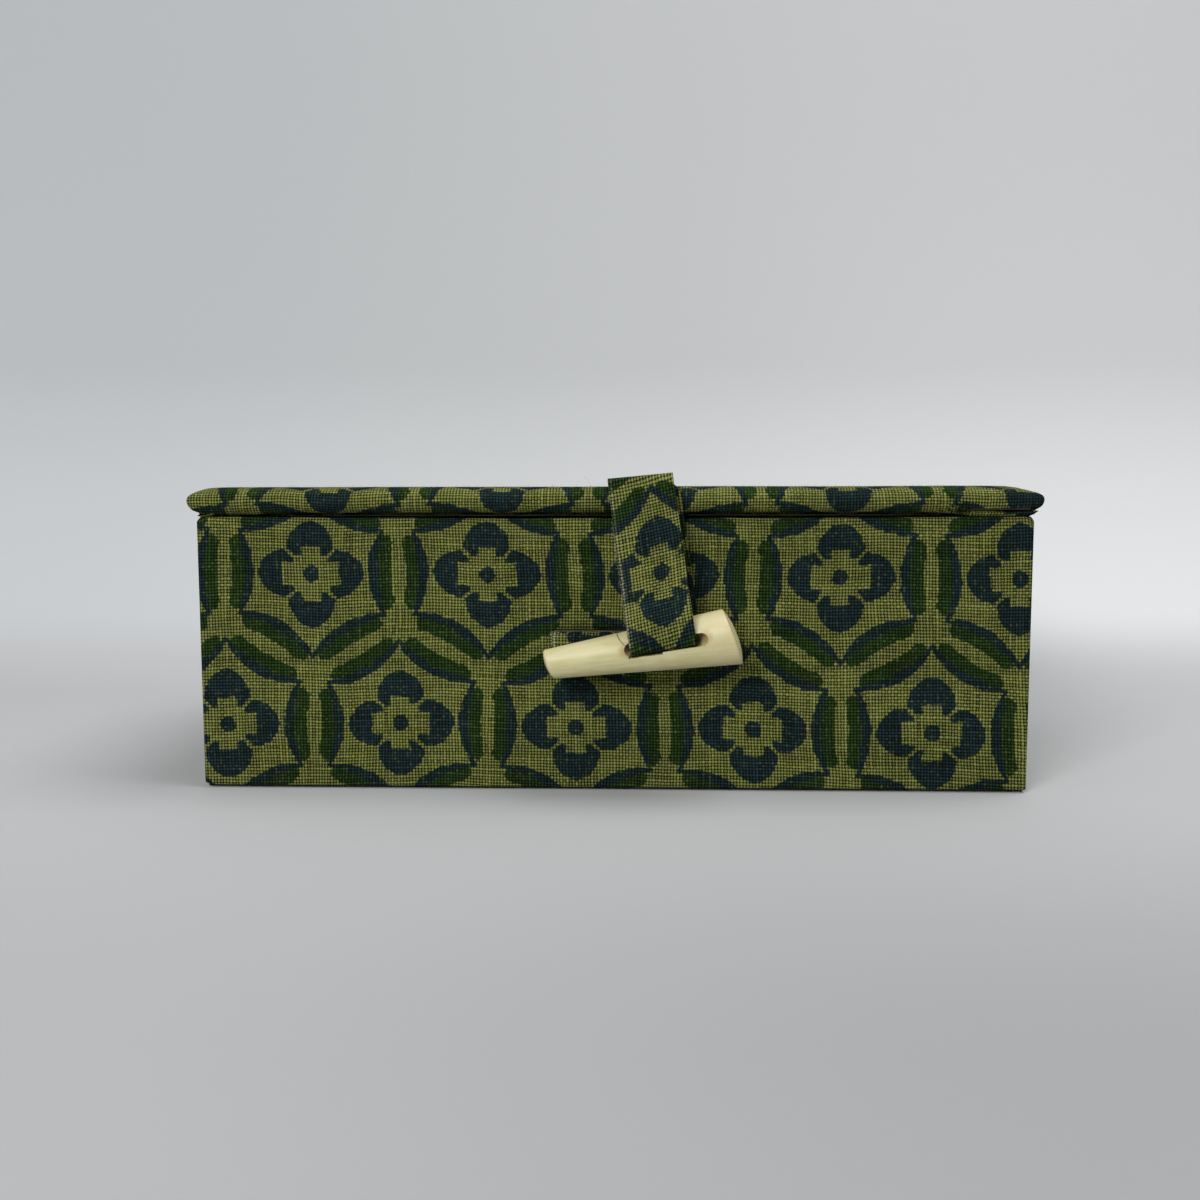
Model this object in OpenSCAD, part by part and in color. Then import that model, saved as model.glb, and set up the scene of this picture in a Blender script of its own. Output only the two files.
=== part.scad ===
// Cloth-covered card box with a padded lid, a cloth hinge at the back, and a strap with a
// tapered bone toggle at the front. All sizes are in millimetres, with +Z up and +X to the
// right seen from the front. The origin is the middle of the box's footprint on the table.

/* [Body] */
// Outside width of the box over its cloth
body_w = 190; // [150:1:240]
// Outside depth of the box over its cloth
body_d = 100; // [70:1:140]
// Height from the table to the cloth on the rim
body_h = 63.5; // [54:0.5:90]

/* [Board, cloth and linings] */
// Thickness of the grey board of the base and walls
board_t = 2.4; // [1.6:0.1:3.2]
// Thickness of the covering cloth with its paste
cloth_t = 0.6; // [0.4:0.05:0.8]
// Thickness of the card-backed lining panels
lining_t = 0.8; // [0.6:0.05:1.2]
// Thickness of the sheet pasted under the base
base_cover_t = 0.6; // [0.4:0.1:1]
// Thickness of the paper strips pasted inside the corners
stay_t = 0.3; // [0.2:0.05:0.35]
// Width of each leg of a corner strip
stay_leg = 10; // [6:1:16]

/* [Turned-in edges] */
// Depth of the covering cloth turned inside at the rim
rim_turn_in = 12; // [8:1:15]
// Width of the covering cloth turned under the base
base_turn_in = 15; // [8:1:25]
// Border left free round the sheet under the base
base_cover_margin = 3; // [1:0.5:6]
// Play round the raised middle of the sheet under the base
base_infill_play = 0.5; // [0.2:0.1:1]
// Distance of the lining's upper edge below the rim
lining_drop = 3; // [1:0.5:5]
// Play round the floor lining
floor_play = 0.2; // [0.1:0.05:0.5]

/* [Lid] */
// Overhang of the lid past the box at the sides and the front
lid_overhang = 1.7; // [1:0.1:4]
// Height of the lid's underside above the rim
lid_gap = 0.8; // [0.6:0.1:1.2]
// Thickness of the lid's board
lid_board_t = 1.6; // [1.2:0.1:2.4]
// Thickness of the wadding over the lid's board
pad_t = 3.1; // [1.6:0.1:5]
// Width of the wadding folded round the edge of the lid's board
pad_edge = 1.6; // [1:0.1:3]
// Width of the rounded shoulder round the wadding
pad_shoulder = 7.5; // [5:0.5:12]
// Width of the lid's cloth turned under its board
lid_turn_in = 18; // [12:1:25]
// Length of the folded cloth corners under the lid
corner_fold_l = 20; // [12:1:24]
// Clearance between the folded corners and the rim
lid_rest_clearance = 0.3; // [0.2:0.05:0.4]
// Play of the lid's lining panel inside the walls
lid_lining_play = 1; // [0.6:0.1:2]

/* [Cloth hinge] */
// Distance from the end of the hinge cloth to the box's side
hinge_inset = 3; // [0:0.5:10]
// Length of the hinge cloth down the back wall
hinge_drop = 20; // [10:1:30]
// Length of the hinge cloth over the lid's top
hinge_flap = 14; // [8:1:25]
// Thickness of the hinge's cotton lining
hinge_lining_t = 0.3; // [0.2:0.05:0.35]
// Depth of the hinge's lining inside the back wall
hinge_lining_drop = 15; // [8:1:25]
// Distance from the end of the hinge's lining to the side lining
hinge_lining_inset = 3; // [1:0.5:10]

/* [Keeper band] */
// Width of the keeper band on the front wall
keeper_w = 15.8; // [12:0.2:20]
// Middle of the keeper band, measured from the box's middle
keeper_x = -5.2; // [-30:0.1:-4]
// Distance of the upper slit below the rim
keeper_top = 25.6; // [22:0.1:28]
// Distance between the two slits
keeper_span = 13.6; // [10:0.1:16]
// Room between the band and the wall behind it
keeper_bow = 1.9; // [1:0.1:2.2]
// Length of the band's ends pasted inside the wall
keeper_tail = 8; // [4:0.5:10]
// Height of the slits in the wall
slit_h = 1; // [0.9:0.05:1.4]
// Play at each end of the slits
slit_play = 0.3; // [0.2:0.05:0.6]

/* [Strap] */
// Width of the strap
strap_w = 15.5; // [12:0.1:17.5]
// Thickness of one layer of the doubled strap
strap_t = 1.2; // [0.8:0.05:1.4]
// Middle of the strap at its fold over the lid's edge
strap_x = 7.3; // [4:0.1:40]
// Lean of the hanging strap, with its lower end to the right
strap_lean = 8.5; // [0:0.5:12]
// Length from the fold to the middle of the toggle's slot
strap_drop = 36; // [28:0.5:40]
// Distance of the strap's slit behind the lid's front edge
strap_slit = 15; // [10:1:25]
// Length of each end of the strap spread under the wadding
strap_anchor = 8; // [4:0.5:9]
// Clearance between the strap and the lid's front edge
strap_edge_clearance = 0.3; // [0.2:0.05:0.6]
// Angle that the strap swings up and back from where it hangs
strap_swing_max = 210; // [180:5:210]
// Clearance between the strap and the front wall at the toggle
strap_wall_clearance = 0.45; // [0.3:0.05:0.8]

/* [Toggle] */
// Length of the toggle along its axis
toggle_l = 41.5; // [34:0.5:46]
// Diameter of the toggle at its slim end
toggle_d_slim = 6; // [5:0.1:8]
// Diameter of the toggle at its thick end
toggle_d_thick = 12.3; // [10:0.1:14]
// Rise of the toggle towards its thick end
toggle_lean = 9.4; // [0:0.2:12]
// Distance from the slim end to the middle of the slot
slot_at = 26.3; // [22:0.1:28]
// Length of the slot
slot_l = 18.6; // [18:0.1:20]
// Width of the slot
slot_h = 3; // [2.8:0.1:3.6]
// Slant of the sawn slim end
slant_slim = 14.5; // [0:0.5:20]
// Slant of the sawn thick end
slant_thick = 10.8; // [0:0.5:20]
// Bevel round the thick end
toggle_bevel = 0.5; // [0.2:0.1:1]
// Clearance between the toggle and the strap round it
toggle_play = 0.3; // [0.2:0.05:0.6]

/* [Hidden] */

// Number of segments of a round piece
round_n = 64;
// Small overrun of a cutting solid past the face that it cuts
over = 1;
// Thickness of the slices that the padded form is spanned over
slice_t = 0.01;
// Angle between two slices of the padded form's shoulder
slice_step = 15;
// Power of the shoulder's curve: 1 is an ellipse and 2 a straight bevel
shoulder_power = 1.2;

// Colours of the materials
cloth_color = [0.46, 0.47, 0.22];
board_color = [0.52, 0.50, 0.46];
lining_color = [0.84, 0.79, 0.68];
paper_color = [0.80, 0.76, 0.66];
wadding_color = [0.93, 0.92, 0.88];
bone_color = [0.90, 0.85, 0.70];

// Half sizes of the walls: over the cloth, over the board, inside the board, inside the
// turned-in cloth, and inside the lining
half_w = body_w / 2;
half_d = body_d / 2;
board_w2 = half_w - cloth_t;
board_d2 = half_d - cloth_t;
inner_w2 = board_w2 - board_t;
inner_d2 = board_d2 - board_t;
turn_w2 = inner_w2 - cloth_t;
turn_d2 = inner_d2 - cloth_t;
room_w2 = turn_w2 - lining_t;
room_d2 = turn_d2 - lining_t;

// Heights in the box
base_z = base_cover_t + cloth_t;
wall_z = base_z + board_t;
board_top = body_h - cloth_t;
lining_top = body_h - lining_drop;

// Heights and edges of the lid
lid_z = body_h + lid_gap;
lid_board_z = lid_z + cloth_t;
pad_z = lid_board_z + lid_board_t;
lid_top = pad_z + pad_t + cloth_t;
lid_w2 = half_w + lid_overhang;
lid_front = -(half_d + lid_overhang);
lid_back = half_d;
fold_z = body_h + lid_rest_clearance;

// Outline of the lid's lining panel
lid_lining_w2 = room_w2 - lid_lining_play;
lid_lining_front = -(room_d2 - lid_lining_play);
lid_lining_back = room_d2 - hinge_lining_t - lid_lining_play;

// The line that the lid turns about is the outermost face of the hinge cloth at the rim
hinge_y = half_d + cloth_t;
hinge_lining_w2 = room_w2 - hinge_lining_inset;

// Keeper band
keeper_upper_z = body_h - keeper_top;
keeper_lower_z = keeper_upper_z - keeper_span;
// Play between the band and the wall's cloth where it leaves a slit
keeper_lift = 0.2;
// Length over which the band bows out from a slit
keeper_run = 3;

// The line that the strap swings about is the fold beside the lid's front edge
strap_fold_y = lid_front - strap_edge_clearance - strap_t;
strap_fold_z = lid_top + strap_t;
toggle_taper = (toggle_d_thick - toggle_d_slim) / toggle_l / 2;
// Radius of the toggle at a distance from its slim end
function toggle_r(at) = toggle_d_slim / 2 + at * toggle_taper;
strap_room_r = toggle_r(slot_at + strap_w / 2) + toggle_play;
strap_back_y = -half_d - strap_wall_clearance - strap_t / 2;
toggle_y = strap_back_y - strap_t / 2 - strap_room_r;
strap_front_y = toggle_y - strap_room_r - strap_t / 2;
// Straight stretches of the strap: at the fold, beside the lid's edge, and beside the toggle
strap_fold_run = strap_w / 2 * tan(strap_lean);
strap_edge_run = (strap_fold_z - lid_z) / cos(strap_lean) + 1.5;
strap_toggle_run = 4;
// Angle between the strap's front layer and its back layer
strap_flare = atan((strap_fold_y - strap_t / 2 - strap_front_y)
                   / (strap_drop - strap_toggle_run - strap_fold_run));

// A box that is centred on X between two depths and two heights
module slab(half_x, y0, y1, z0, z1) {
    translate([-half_x, y0, z0]) cube([2 * half_x, y1 - y0, z1 - z0]);
}

// An upright rectangular ring between two outlines
module ring(out_x, out_y, in_x, in_y, z0, z1) {
    difference() {
        slab(out_x, -out_y, out_y, z0, z1);
        slab(in_x, -in_y, in_y, z0 - over, z1 + over);
    }
}

// A flat ribbon of one thickness along a path, with round bends
module ribbon(path, t) {
    for (p = path) {
        translate(p) circle(d = t, $fn = round_n);
    }
    for (i = [1 : len(path) - 1]) {
        run = path[i] - path[i - 1];
        translate(path[i - 1]) rotate(atan2(run[1], run[0])) {
            translate([0, -t / 2]) square([norm(run), t]);
        }
    }
}

// Turns a profile drawn in depth and height into a band that is w wide along X
module band(w) {
    rotate([90, 0, 90]) translate([0, 0, -w / 2]) linear_extrude(height = w) children();
}

// Base and walls of grey board
module base_board() {
    color(board_color) slab(board_w2, -board_d2, board_d2, base_z, wall_z);
}

module long_wall(y0, y1) {
    slab(board_w2, y0, y1, wall_z, board_top);
}

module keeper_slits() {
    for (z = [keeper_upper_z, keeper_lower_z]) {
        translate([keeper_x - keeper_w / 2 - slit_play, -half_d - over, z - slit_h / 2]) {
            cube([keeper_w + 2 * slit_play, cloth_t + board_t + 2 * over, slit_h]);
        }
    }
}

module front_board() {
    color(board_color) difference() {
        long_wall(-board_d2, -inner_d2);
        keeper_slits();
    }
}

module back_board() {
    color(board_color) long_wall(inner_d2, board_d2);
}

module side_wall(side) {
    x0 = side > 0 ? inner_w2 : -board_w2;
    translate([x0, -inner_d2, wall_z]) cube([board_t, 2 * inner_d2, board_top - wall_z]);
}

module left_board() {
    color(board_color) side_wall(-1);
}

module right_board() {
    color(board_color) side_wall(1);
}

// Folded paper strips that join the walls inside the four corners
module corner_stay() {
    stay_h = body_h - rim_turn_in - wall_z - over;
    translate([-inner_w2, -inner_d2, wall_z]) {
        cube([stay_leg, stay_t, stay_h]);
        cube([stay_t, stay_leg, stay_h]);
    }
}

module corner_stays() {
    color(paper_color) for (sx = [0, 1], sy = [0, 1]) {
        mirror([sx, 0, 0]) mirror([0, sy, 0]) corner_stay();
    }
}

// One cloth round all four walls, turned in over the rim and under the base
module wall_cover() {
    color(cloth_color) difference() {
        union() {
            ring(half_w, half_d, board_w2, board_d2, base_cover_t, body_h);
            ring(half_w, half_d, turn_w2, turn_d2, board_top, body_h);
            ring(inner_w2, inner_d2, turn_w2, turn_d2, body_h - rim_turn_in, body_h);
            ring(half_w, half_d, half_w - base_turn_in, half_d - base_turn_in, base_cover_t, base_z);
        }
        keeper_slits();
    }
}

// Sheet under the base, with a middle that fills the space between the turned-in edges
module base_cover() {
    infill_inset = base_turn_in + base_infill_play;
    color(paper_color) {
        slab(half_w - base_cover_margin, -half_d + base_cover_margin,
             half_d - base_cover_margin, 0, base_cover_t);
        slab(half_w - infill_inset, -half_d + infill_inset, half_d - infill_inset, 0, base_z);
    }
}

// Cloth band through two slits in the front wall, with its ends pasted inside
module keeper_loop() {
    inside = -inner_d2 + cloth_t / 2;
    outside = -half_d - cloth_t / 2 - keeper_lift;
    bowed = -half_d - cloth_t / 2 - keeper_bow;
    path = [
        [inside, keeper_upper_z + keeper_tail],
        [inside, keeper_upper_z],
        [outside, keeper_upper_z],
        [bowed, keeper_upper_z - keeper_run],
        [bowed, keeper_lower_z + keeper_run],
        [outside, keeper_lower_z],
        [inside, keeper_lower_z],
        [inside, keeper_lower_z - keeper_tail]
    ];
    color(cloth_color) translate([keeper_x, 0, 0]) band(keeper_w) ribbon(path, cloth_t);
}

// Lining panels of the floor and walls
module floor_lining() {
    color(lining_color) {
        slab(room_w2 - floor_play, -room_d2 + floor_play, room_d2 - floor_play,
             wall_z, wall_z + lining_t);
    }
}

module front_lining() {
    color(lining_color) slab(turn_w2, -turn_d2, -room_d2, wall_z, lining_top);
}

module back_lining() {
    color(lining_color) slab(turn_w2, room_d2, turn_d2, wall_z, lining_top);
}

module side_lining(side) {
    x0 = side > 0 ? room_w2 : -turn_w2;
    translate([x0, -room_d2, wall_z]) cube([lining_t, 2 * room_d2, lining_top - wall_z]);
}

module left_lining() {
    color(lining_color) side_lining(-1);
}

module right_lining() {
    color(lining_color) side_lining(1);
}

// Hinge: cloth pasted down the back wall, and cotton over the joint inside
module hinge_cloth_lower() {
    color(cloth_color) slab(half_w - hinge_inset, half_d, hinge_y, body_h - hinge_drop, body_h);
}

module hinge_lining_lower() {
    color(lining_color) {
        slab(hinge_lining_w2, room_d2 - hinge_lining_t, room_d2,
             body_h - hinge_lining_drop, lining_top);
        slab(hinge_lining_w2, room_d2 - hinge_lining_t, turn_d2, lining_top, body_h);
    }
}

// The wadding's form, grown outwards by one or more thicknesses of cloth
module padded_form(grow) {
    rise = lid_board_t + pad_t + grow;
    edge_w2 = lid_w2 - cloth_t + grow;
    edge_front = lid_front + cloth_t - grow;
    edge_back = lid_back - cloth_t + grow;
    hull() for (a = [0 : slice_step : 90]) {
        inset = (pad_shoulder + grow) * (1 - pow(cos(a), shoulder_power));
        z = lid_board_z + rise * pow(sin(a), shoulder_power) - (a > 0 ? slice_t : 0);
        slab(edge_w2 - inset, edge_front + inset, edge_back - inset, z, z + slice_t);
    }
}

// Both layers of the strap go down through the cover and spread over the lid's board
module strap_anchor_form() {
    translate([strap_x, lid_front, 0]) rotate(strap_lean) {
        translate([-strap_w / 2, strap_slit, pad_z]) {
            cube([strap_w, 2 * strap_t, lid_top - pad_z]);
        }
        translate([-strap_w / 2, strap_slit - strap_anchor, pad_z]) {
            cube([strap_w, 2 * (strap_anchor + strap_t), strap_t]);
        }
    }
}

module lid_board_form() {
    edge = cloth_t + pad_edge;
    slab(lid_w2 - edge, lid_front + edge, lid_back - edge, lid_board_z, pad_z);
}

module lid_board() {
    color(board_color) lid_board_form();
}

module lid_wadding() {
    color(wadding_color) difference() {
        padded_form(0);
        lid_board_form();
        strap_anchor_form();
    }
}

// Extra layers where the lid's cloth is folded at its corners, which rest on the rim
module corner_folds() {
    edge_w = lid_w2 - lid_lining_w2 - lid_lining_play / 2;
    front_w = lid_lining_front - lid_front - lid_lining_play / 2;
    for (side = [0, 1]) mirror([side, 0, 0]) {
        translate([-lid_w2, lid_front, fold_z]) {
            cube([edge_w, corner_fold_l, lid_z - fold_z]);
            cube([corner_fold_l, front_w, lid_z - fold_z]);
        }
        translate([-lid_w2, lid_back - corner_fold_l, fold_z]) {
            cube([edge_w, corner_fold_l, lid_z - fold_z]);
        }
    }
}

module lid_cover() {
    color(cloth_color) {
        difference() {
            union() {
                padded_form(cloth_t);
                slab(lid_w2, lid_front, lid_back, lid_z, lid_board_z);
            }
            padded_form(0);
            slab(lid_w2 - lid_turn_in, lid_front + lid_turn_in, lid_back - lid_turn_in,
                 lid_z - over, lid_board_z + cloth_t);
            strap_anchor_form();
        }
        corner_folds();
    }
}

// Panel under the lid, level with the rim when the lid is shut
module lid_lining() {
    color(lining_color) {
        slab(lid_lining_w2, lid_lining_front, lid_lining_back, lid_z - lining_t, lid_z);
    }
}

module hinge_cloth_upper() {
    color(cloth_color) intersection() {
        difference() {
            union() {
                padded_form(2 * cloth_t);
                slab(lid_w2, lid_front, lid_back + cloth_t, lid_z, lid_board_z);
            }
            padded_form(cloth_t);
            slab(lid_w2 + over, lid_front - over, lid_back, lid_z - over, lid_board_z);
        }
        slab(half_w - hinge_inset, lid_back - hinge_flap, lid_back + over,
             lid_z - over, lid_top + over);
    }
}

module hinge_lining_upper() {
    color(lining_color) {
        slab(hinge_lining_w2, lid_lining_back, lid_back, lid_z - hinge_lining_t, lid_z);
    }
}

// Everything behind the front face of the strap when it is swung as far back as it goes
module swung_strap_space() {
    translate([-half_w, strap_fold_y, strap_fold_z]) rotate([-strap_swing_max - strap_flare, 0, 0]) {
        translate([0, -strap_t - strap_edge_clearance, -body_d]) cube([body_w, body_d, 2 * body_d]);
    }
}

// Both layers of the strap on the lid, from the slit to the front edge. The front corner is
// sloped, so that the hanging strap can fold back over it.
module strap_tail() {
    overrun = strap_w * tan(strap_lean);
    color(cloth_color) {
        difference() {
            intersection() {
                translate([strap_x, lid_front, lid_top]) rotate(strap_lean) {
                    translate([-strap_w / 2, -overrun, 0]) {
                        cube([strap_w, strap_slit + 2 * strap_t + overrun, 2 * strap_t]);
                    }
                }
                slab(half_w, lid_front, lid_back, lid_top - over, lid_top + 2 * strap_t + over);
            }
            swung_strap_space();
        }
        strap_anchor_form();
    }
}

// Hanging strap: down behind the toggle, forward through its slot, and up again in front.
// Its upper end is rounded about the line of the fold.
module strap_loop() {
    fold_half = strap_t / 2;
    above = 2 * strap_fold_run;
    path = [
        [strap_fold_y + fold_half, above],
        [strap_fold_y + fold_half, -strap_edge_run],
        [strap_back_y, strap_toggle_run - strap_drop],
        [strap_back_y, -strap_drop],
        [strap_front_y, -strap_drop],
        [strap_front_y, strap_toggle_run - strap_drop],
        [strap_fold_y - fold_half, -strap_fold_run],
        [strap_fold_y - fold_half, above]
    ];
    color(cloth_color) translate([strap_x, 0, strap_fold_z]) {
        difference() {
            rotate([0, -strap_lean, 0]) band(strap_w) ribbon(path, strap_t);
            slab(half_w, -body_d, body_d, 0, body_h);
        }
        band(strap_w / cos(strap_lean)) translate([strap_fold_y, 0]) {
            intersection() {
                circle(r = strap_t, $fn = round_n);
                translate([-strap_t, 0]) square([2 * strap_t, strap_t]);
            }
        }
    }
}

// Where the middle of the toggle's slot lies at rest
slot_x = strap_x + strap_drop * sin(strap_lean);
slot_z = strap_fold_z - strap_drop * cos(strap_lean);

// Tapered bone toggle with slanted ends and a long slot across its middle
module toggle() {
    color(bone_color) translate([slot_x, toggle_y, slot_z]) rotate([0, -toggle_lean, 0]) {
        difference() {
            translate([-slot_at, 0, 0]) rotate([0, 90, 0]) {
                cylinder(h = toggle_l, d1 = toggle_d_slim, d2 = toggle_d_thick, $fn = round_n);
            }
            slanted_cut(-slot_at, toggle_d_slim, slant_slim, -1);
            slanted_cut(toggle_l - slot_at, toggle_d_thick, slant_thick, 1);
            toggle_slot();
            end_bevel();
        }
    }
}

// A sawn end: everything past a plane through the lower edge of the end face
module slanted_cut(at, d, slant, side) {
    reach = 2 * d;
    low = side > 0 ? -d / 2 : d / 2;
    translate([at, 0, low]) rotate([0, -slant, 0]) {
        translate([side > 0 ? 0 : -reach, -reach, -reach]) cube([reach, 2 * reach, 2 * reach]);
    }
}

module toggle_slot() {
    flat_l = slot_l - slot_h;
    translate([-flat_l / 2, -toggle_d_thick, -slot_h / 2]) {
        cube([flat_l, 2 * toggle_d_thick, slot_h]);
    }
    for (end = [-1, 1]) {
        translate([end * flat_l / 2, 0, 0]) rotate([90, 0, 0]) {
            cylinder(h = 2 * toggle_d_thick, d = slot_h, center = true, $fn = round_n);
        }
    }
}

// Takes the sharp corner off the thick end, all round
module end_bevel() {
    low = -toggle_d_thick / 2;
    translate([toggle_l - slot_at, 0, low]) rotate([0, -slant_thick, 0]) {
        translate([-toggle_bevel, 0, -low / cos(slant_thick)]) rotate([0, 90, 0]) difference() {
            cylinder(h = 2 * toggle_bevel, d = 2 * toggle_d_thick, $fn = round_n);
            translate([0, 0, -slice_t]) {
                cylinder(h = 2 * toggle_bevel + 2 * slice_t, d1 = toggle_d_thick + slice_t,
                         d2 = toggle_d_thick - 4 * toggle_bevel, $fn = round_n);
            }
        }
    }
}

base_board();
front_board();
back_board();
left_board();
right_board();
corner_stays();
wall_cover();
base_cover();
keeper_loop();
floor_lining();
front_lining();
back_lining();
left_lining();
right_lining();
hinge_cloth_lower();
hinge_lining_lower();
lid_board();
lid_wadding();
lid_cover();
lid_lining();
hinge_cloth_upper();
hinge_lining_upper();
strap_tail();
strap_loop();
toggle();
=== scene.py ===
# %% [markdown]
# # A cloth-covered box for sewing machine attachments
# The real object is a card box pasted into printed linen, with a padded lid, a cloth hinge
# and a strap that ends in a bone toggle. The imported CAD model gives every board its place.
# This lesson dresses it: cloth with a thread you can count, folded corners, a worn strap
# and sawn bone. The frame is loaded first, and its parts' boxes place the lining panels.

# %% Load the fixed frame
import bisect
import math
import random

import bmesh
import bpy
from mathutils import Matrix, Vector, noise


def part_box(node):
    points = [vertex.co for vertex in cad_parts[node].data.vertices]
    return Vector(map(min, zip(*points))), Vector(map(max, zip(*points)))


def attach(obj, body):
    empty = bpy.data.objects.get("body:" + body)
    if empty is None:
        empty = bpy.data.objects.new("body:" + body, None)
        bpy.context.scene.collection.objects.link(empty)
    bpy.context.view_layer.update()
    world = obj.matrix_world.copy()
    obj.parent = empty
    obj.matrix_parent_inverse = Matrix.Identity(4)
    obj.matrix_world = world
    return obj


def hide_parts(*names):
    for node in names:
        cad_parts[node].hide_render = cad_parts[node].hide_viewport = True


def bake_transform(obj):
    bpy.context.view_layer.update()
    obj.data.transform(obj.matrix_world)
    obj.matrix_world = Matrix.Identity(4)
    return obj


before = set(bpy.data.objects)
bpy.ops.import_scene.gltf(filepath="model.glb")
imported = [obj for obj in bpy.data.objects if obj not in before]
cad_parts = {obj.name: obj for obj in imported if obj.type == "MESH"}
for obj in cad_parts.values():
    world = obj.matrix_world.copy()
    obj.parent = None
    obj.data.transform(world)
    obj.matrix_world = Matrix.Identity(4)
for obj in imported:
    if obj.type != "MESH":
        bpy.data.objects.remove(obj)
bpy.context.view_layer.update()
scene = bpy.context.scene
scene.view_settings.view_transform = "Standard"
MM = 0.001

# %% [markdown]
# ## The camera
# The picture was taken from about a third of a metre, a little above the lid and a little
# to the right. The lens and the place below come from fitting the front's four corners.

# %% Camera
EYE = Vector((8.5, -333.0, 72.3)) * MM
YAW, PITCH, ROLL = math.radians(2.19), math.radians(5.62), math.radians(-0.13)
LENS = 37.32
ahead = Vector((-math.sin(YAW) * math.cos(PITCH), math.cos(YAW) * math.cos(PITCH), -math.sin(PITCH)))
camera_data = bpy.data.cameras.new("camera")
camera_data.lens = LENS
camera_data.sensor_width = 36.0
camera_data.clip_start = 0.01
camera = bpy.data.objects.new("camera", camera_data)
roll = Matrix.Rotation(ROLL, 3, "Z").to_quaternion()
camera.rotation_euler = (ahead.to_track_quat("-Z", "Y") @ roll).to_euler()
camera.location = EYE
scene.collection.objects.link(camera)
scene.camera = camera
print("camera looks along", [round(c, 3) for c in ahead])

# %% [markdown]
# ## Recipes for finishes
# Every finish here is a tree of small nodes. A recipe keeps the tree and adds one step at a
# time, so that a line of Python reads like a line of arithmetic. It could also be wired by
# hand in the editor, but a pattern with fifty steps is easier to check as text.

# %% A small kit for node recipes
class Recipe:
    """A material's nodes, added one step at a time."""

    def __init__(self, name):
        self.material = bpy.data.materials.new(name)
        self.material.use_nodes = True
        self.tree = self.material.node_tree
        self.surface = self.tree.nodes["Principled BSDF"]

    def feed(self, socket, value):
        if isinstance(value, bpy.types.NodeSocket):
            self.tree.links.new(value, socket)
        else:
            socket.default_value = value

    def node(self, kind, settings=None, **inputs):
        made = self.tree.nodes.new("ShaderNode" + kind)
        for key, value in (settings or {}).items():
            setattr(made, key, value)
        for key, value in inputs.items():
            self.feed(made.inputs[key.replace("_", " ")], value)
        return made

    def math(self, operation, *values):
        made = self.node("Math", {"operation": operation})
        for socket, value in zip(made.inputs, values):
            self.feed(socket, value)
        return made.outputs[0]

    def vector(self, operation, *values):
        made = self.node("VectorMath", {"operation": operation})
        for socket, value in zip(made.inputs, values):
            self.feed(socket, value)
        return made.outputs["Value" if operation in ("LENGTH", "DISTANCE") else "Vector"]

    def scaled(self, vector, factor):
        made = self.node("VectorMath", {"operation": "SCALE"})
        self.feed(made.inputs[0], vector)
        self.feed(made.inputs["Scale"], factor)
        return made.outputs["Vector"]

    def step(self, value, low, high, out_low=0.0, out_high=1.0):
        """Goes smoothly from out_low at low to out_high at high."""
        made = self.node("MapRange", {"interpolation_type": "SMOOTHSTEP"})
        for key, v in (("Value", value), ("From Min", low), ("From Max", high),
                       ("To Min", out_low), ("To Max", out_high)):
            self.feed(made.inputs[key], v)
        return made.outputs["Result"]

    def mix(self, factor, a, b, blend="MIX"):
        made = self.node("Mix", {"data_type": "RGBA", "blend_type": blend})
        self.feed(made.inputs["Factor"], factor)
        self.feed(made.inputs[6], a)
        self.feed(made.inputs[7], b)
        return made.outputs[2]

    def mix_vector(self, factor, a, b):
        made = self.node("Mix", {"data_type": "VECTOR"})
        self.feed(made.inputs["Factor"], factor)
        self.feed(made.inputs[4], a)
        self.feed(made.inputs[5], b)
        return made.outputs[1]

    def parts(self, vector):
        made = self.node("SeparateXYZ", Vector=vector)
        return made.outputs[0], made.outputs[1], made.outputs[2]

    def joined(self, x, y, z=0.0):
        return self.node("CombineXYZ", X=x, Y=y, Z=z).outputs[0]

    def noise(self, vector, scale, detail=2.0, colour=False):
        made = self.node("TexNoise", {"noise_dimensions": "3D"}, Vector=vector, Scale=scale, Detail=detail)
        return made.outputs["Color" if colour else "Fac"]

    def finish(self, colour, height, depth, roughness=0.9, **sockets):
        """Wires colour and relief to the surface. Depth is the relief's real height in metres."""
        self.feed(self.surface.inputs["Base Color"], colour)
        self.feed(self.surface.inputs["Roughness"], roughness)
        if height is not None:
            bump = self.node("Bump", None, Strength=1.0, Distance=depth, Height=height)
            self.tree.links.new(bump.outputs["Normal"], self.surface.inputs["Normal"])
        for key, value in sockets.items():
            self.surface.inputs[key.replace("_", " ")].default_value = value
        print("finish", self.material.name, "has", len(self.tree.nodes), "nodes")
        return self.material


def paint(red, green, blue):
    """A colour as picked on a screen, 0 to 255, in the linear values that shaders use."""
    def linear(c):
        c /= 255
        return c / 12.92 if c <= 0.04045 else ((c + 0.055) / 1.055) ** 2.4
    return (linear(red), linear(green), linear(blue), 1.0)


# %% [markdown]
# ## A floor that curves up behind
# A photographer's sweep is one sheet that turns from floor to wall without a line. A floor
# plane and a wall plane would show their joint, so the floor's far edge is spun upwards.
# Its pale colour carries painted light falloff and painted shade: the wall is darker at the
# left and towards the top, and the floor is darker than the wall, darkest in front at the
# right. It also drifts a little at random. The box can be turned and seen from behind as
# well, so a camera on the sweep's far side looks through it.

# %% Sweep
SWEEP_FRONT, SWEEP_BACK, SWEEP_RADIUS, SWEEP_TOP, SWEEP_HALF = -0.75, 0.08, 0.12, 1.3, 1.6
SWEEP_STEPS = 24


def drawn_edge(bm, edge, vec):
    """Draws a sheet out from its edges, and returns the new edges and their points."""
    new = bmesh.ops.extrude_edge_only(bm, edges=edge)["geom"]
    moved = [g for g in new if isinstance(g, bmesh.types.BMVert)]
    bmesh.ops.translate(bm, verts=moved, vec=vec)
    return [g for g in new if isinstance(g, bmesh.types.BMEdge)], moved


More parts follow.
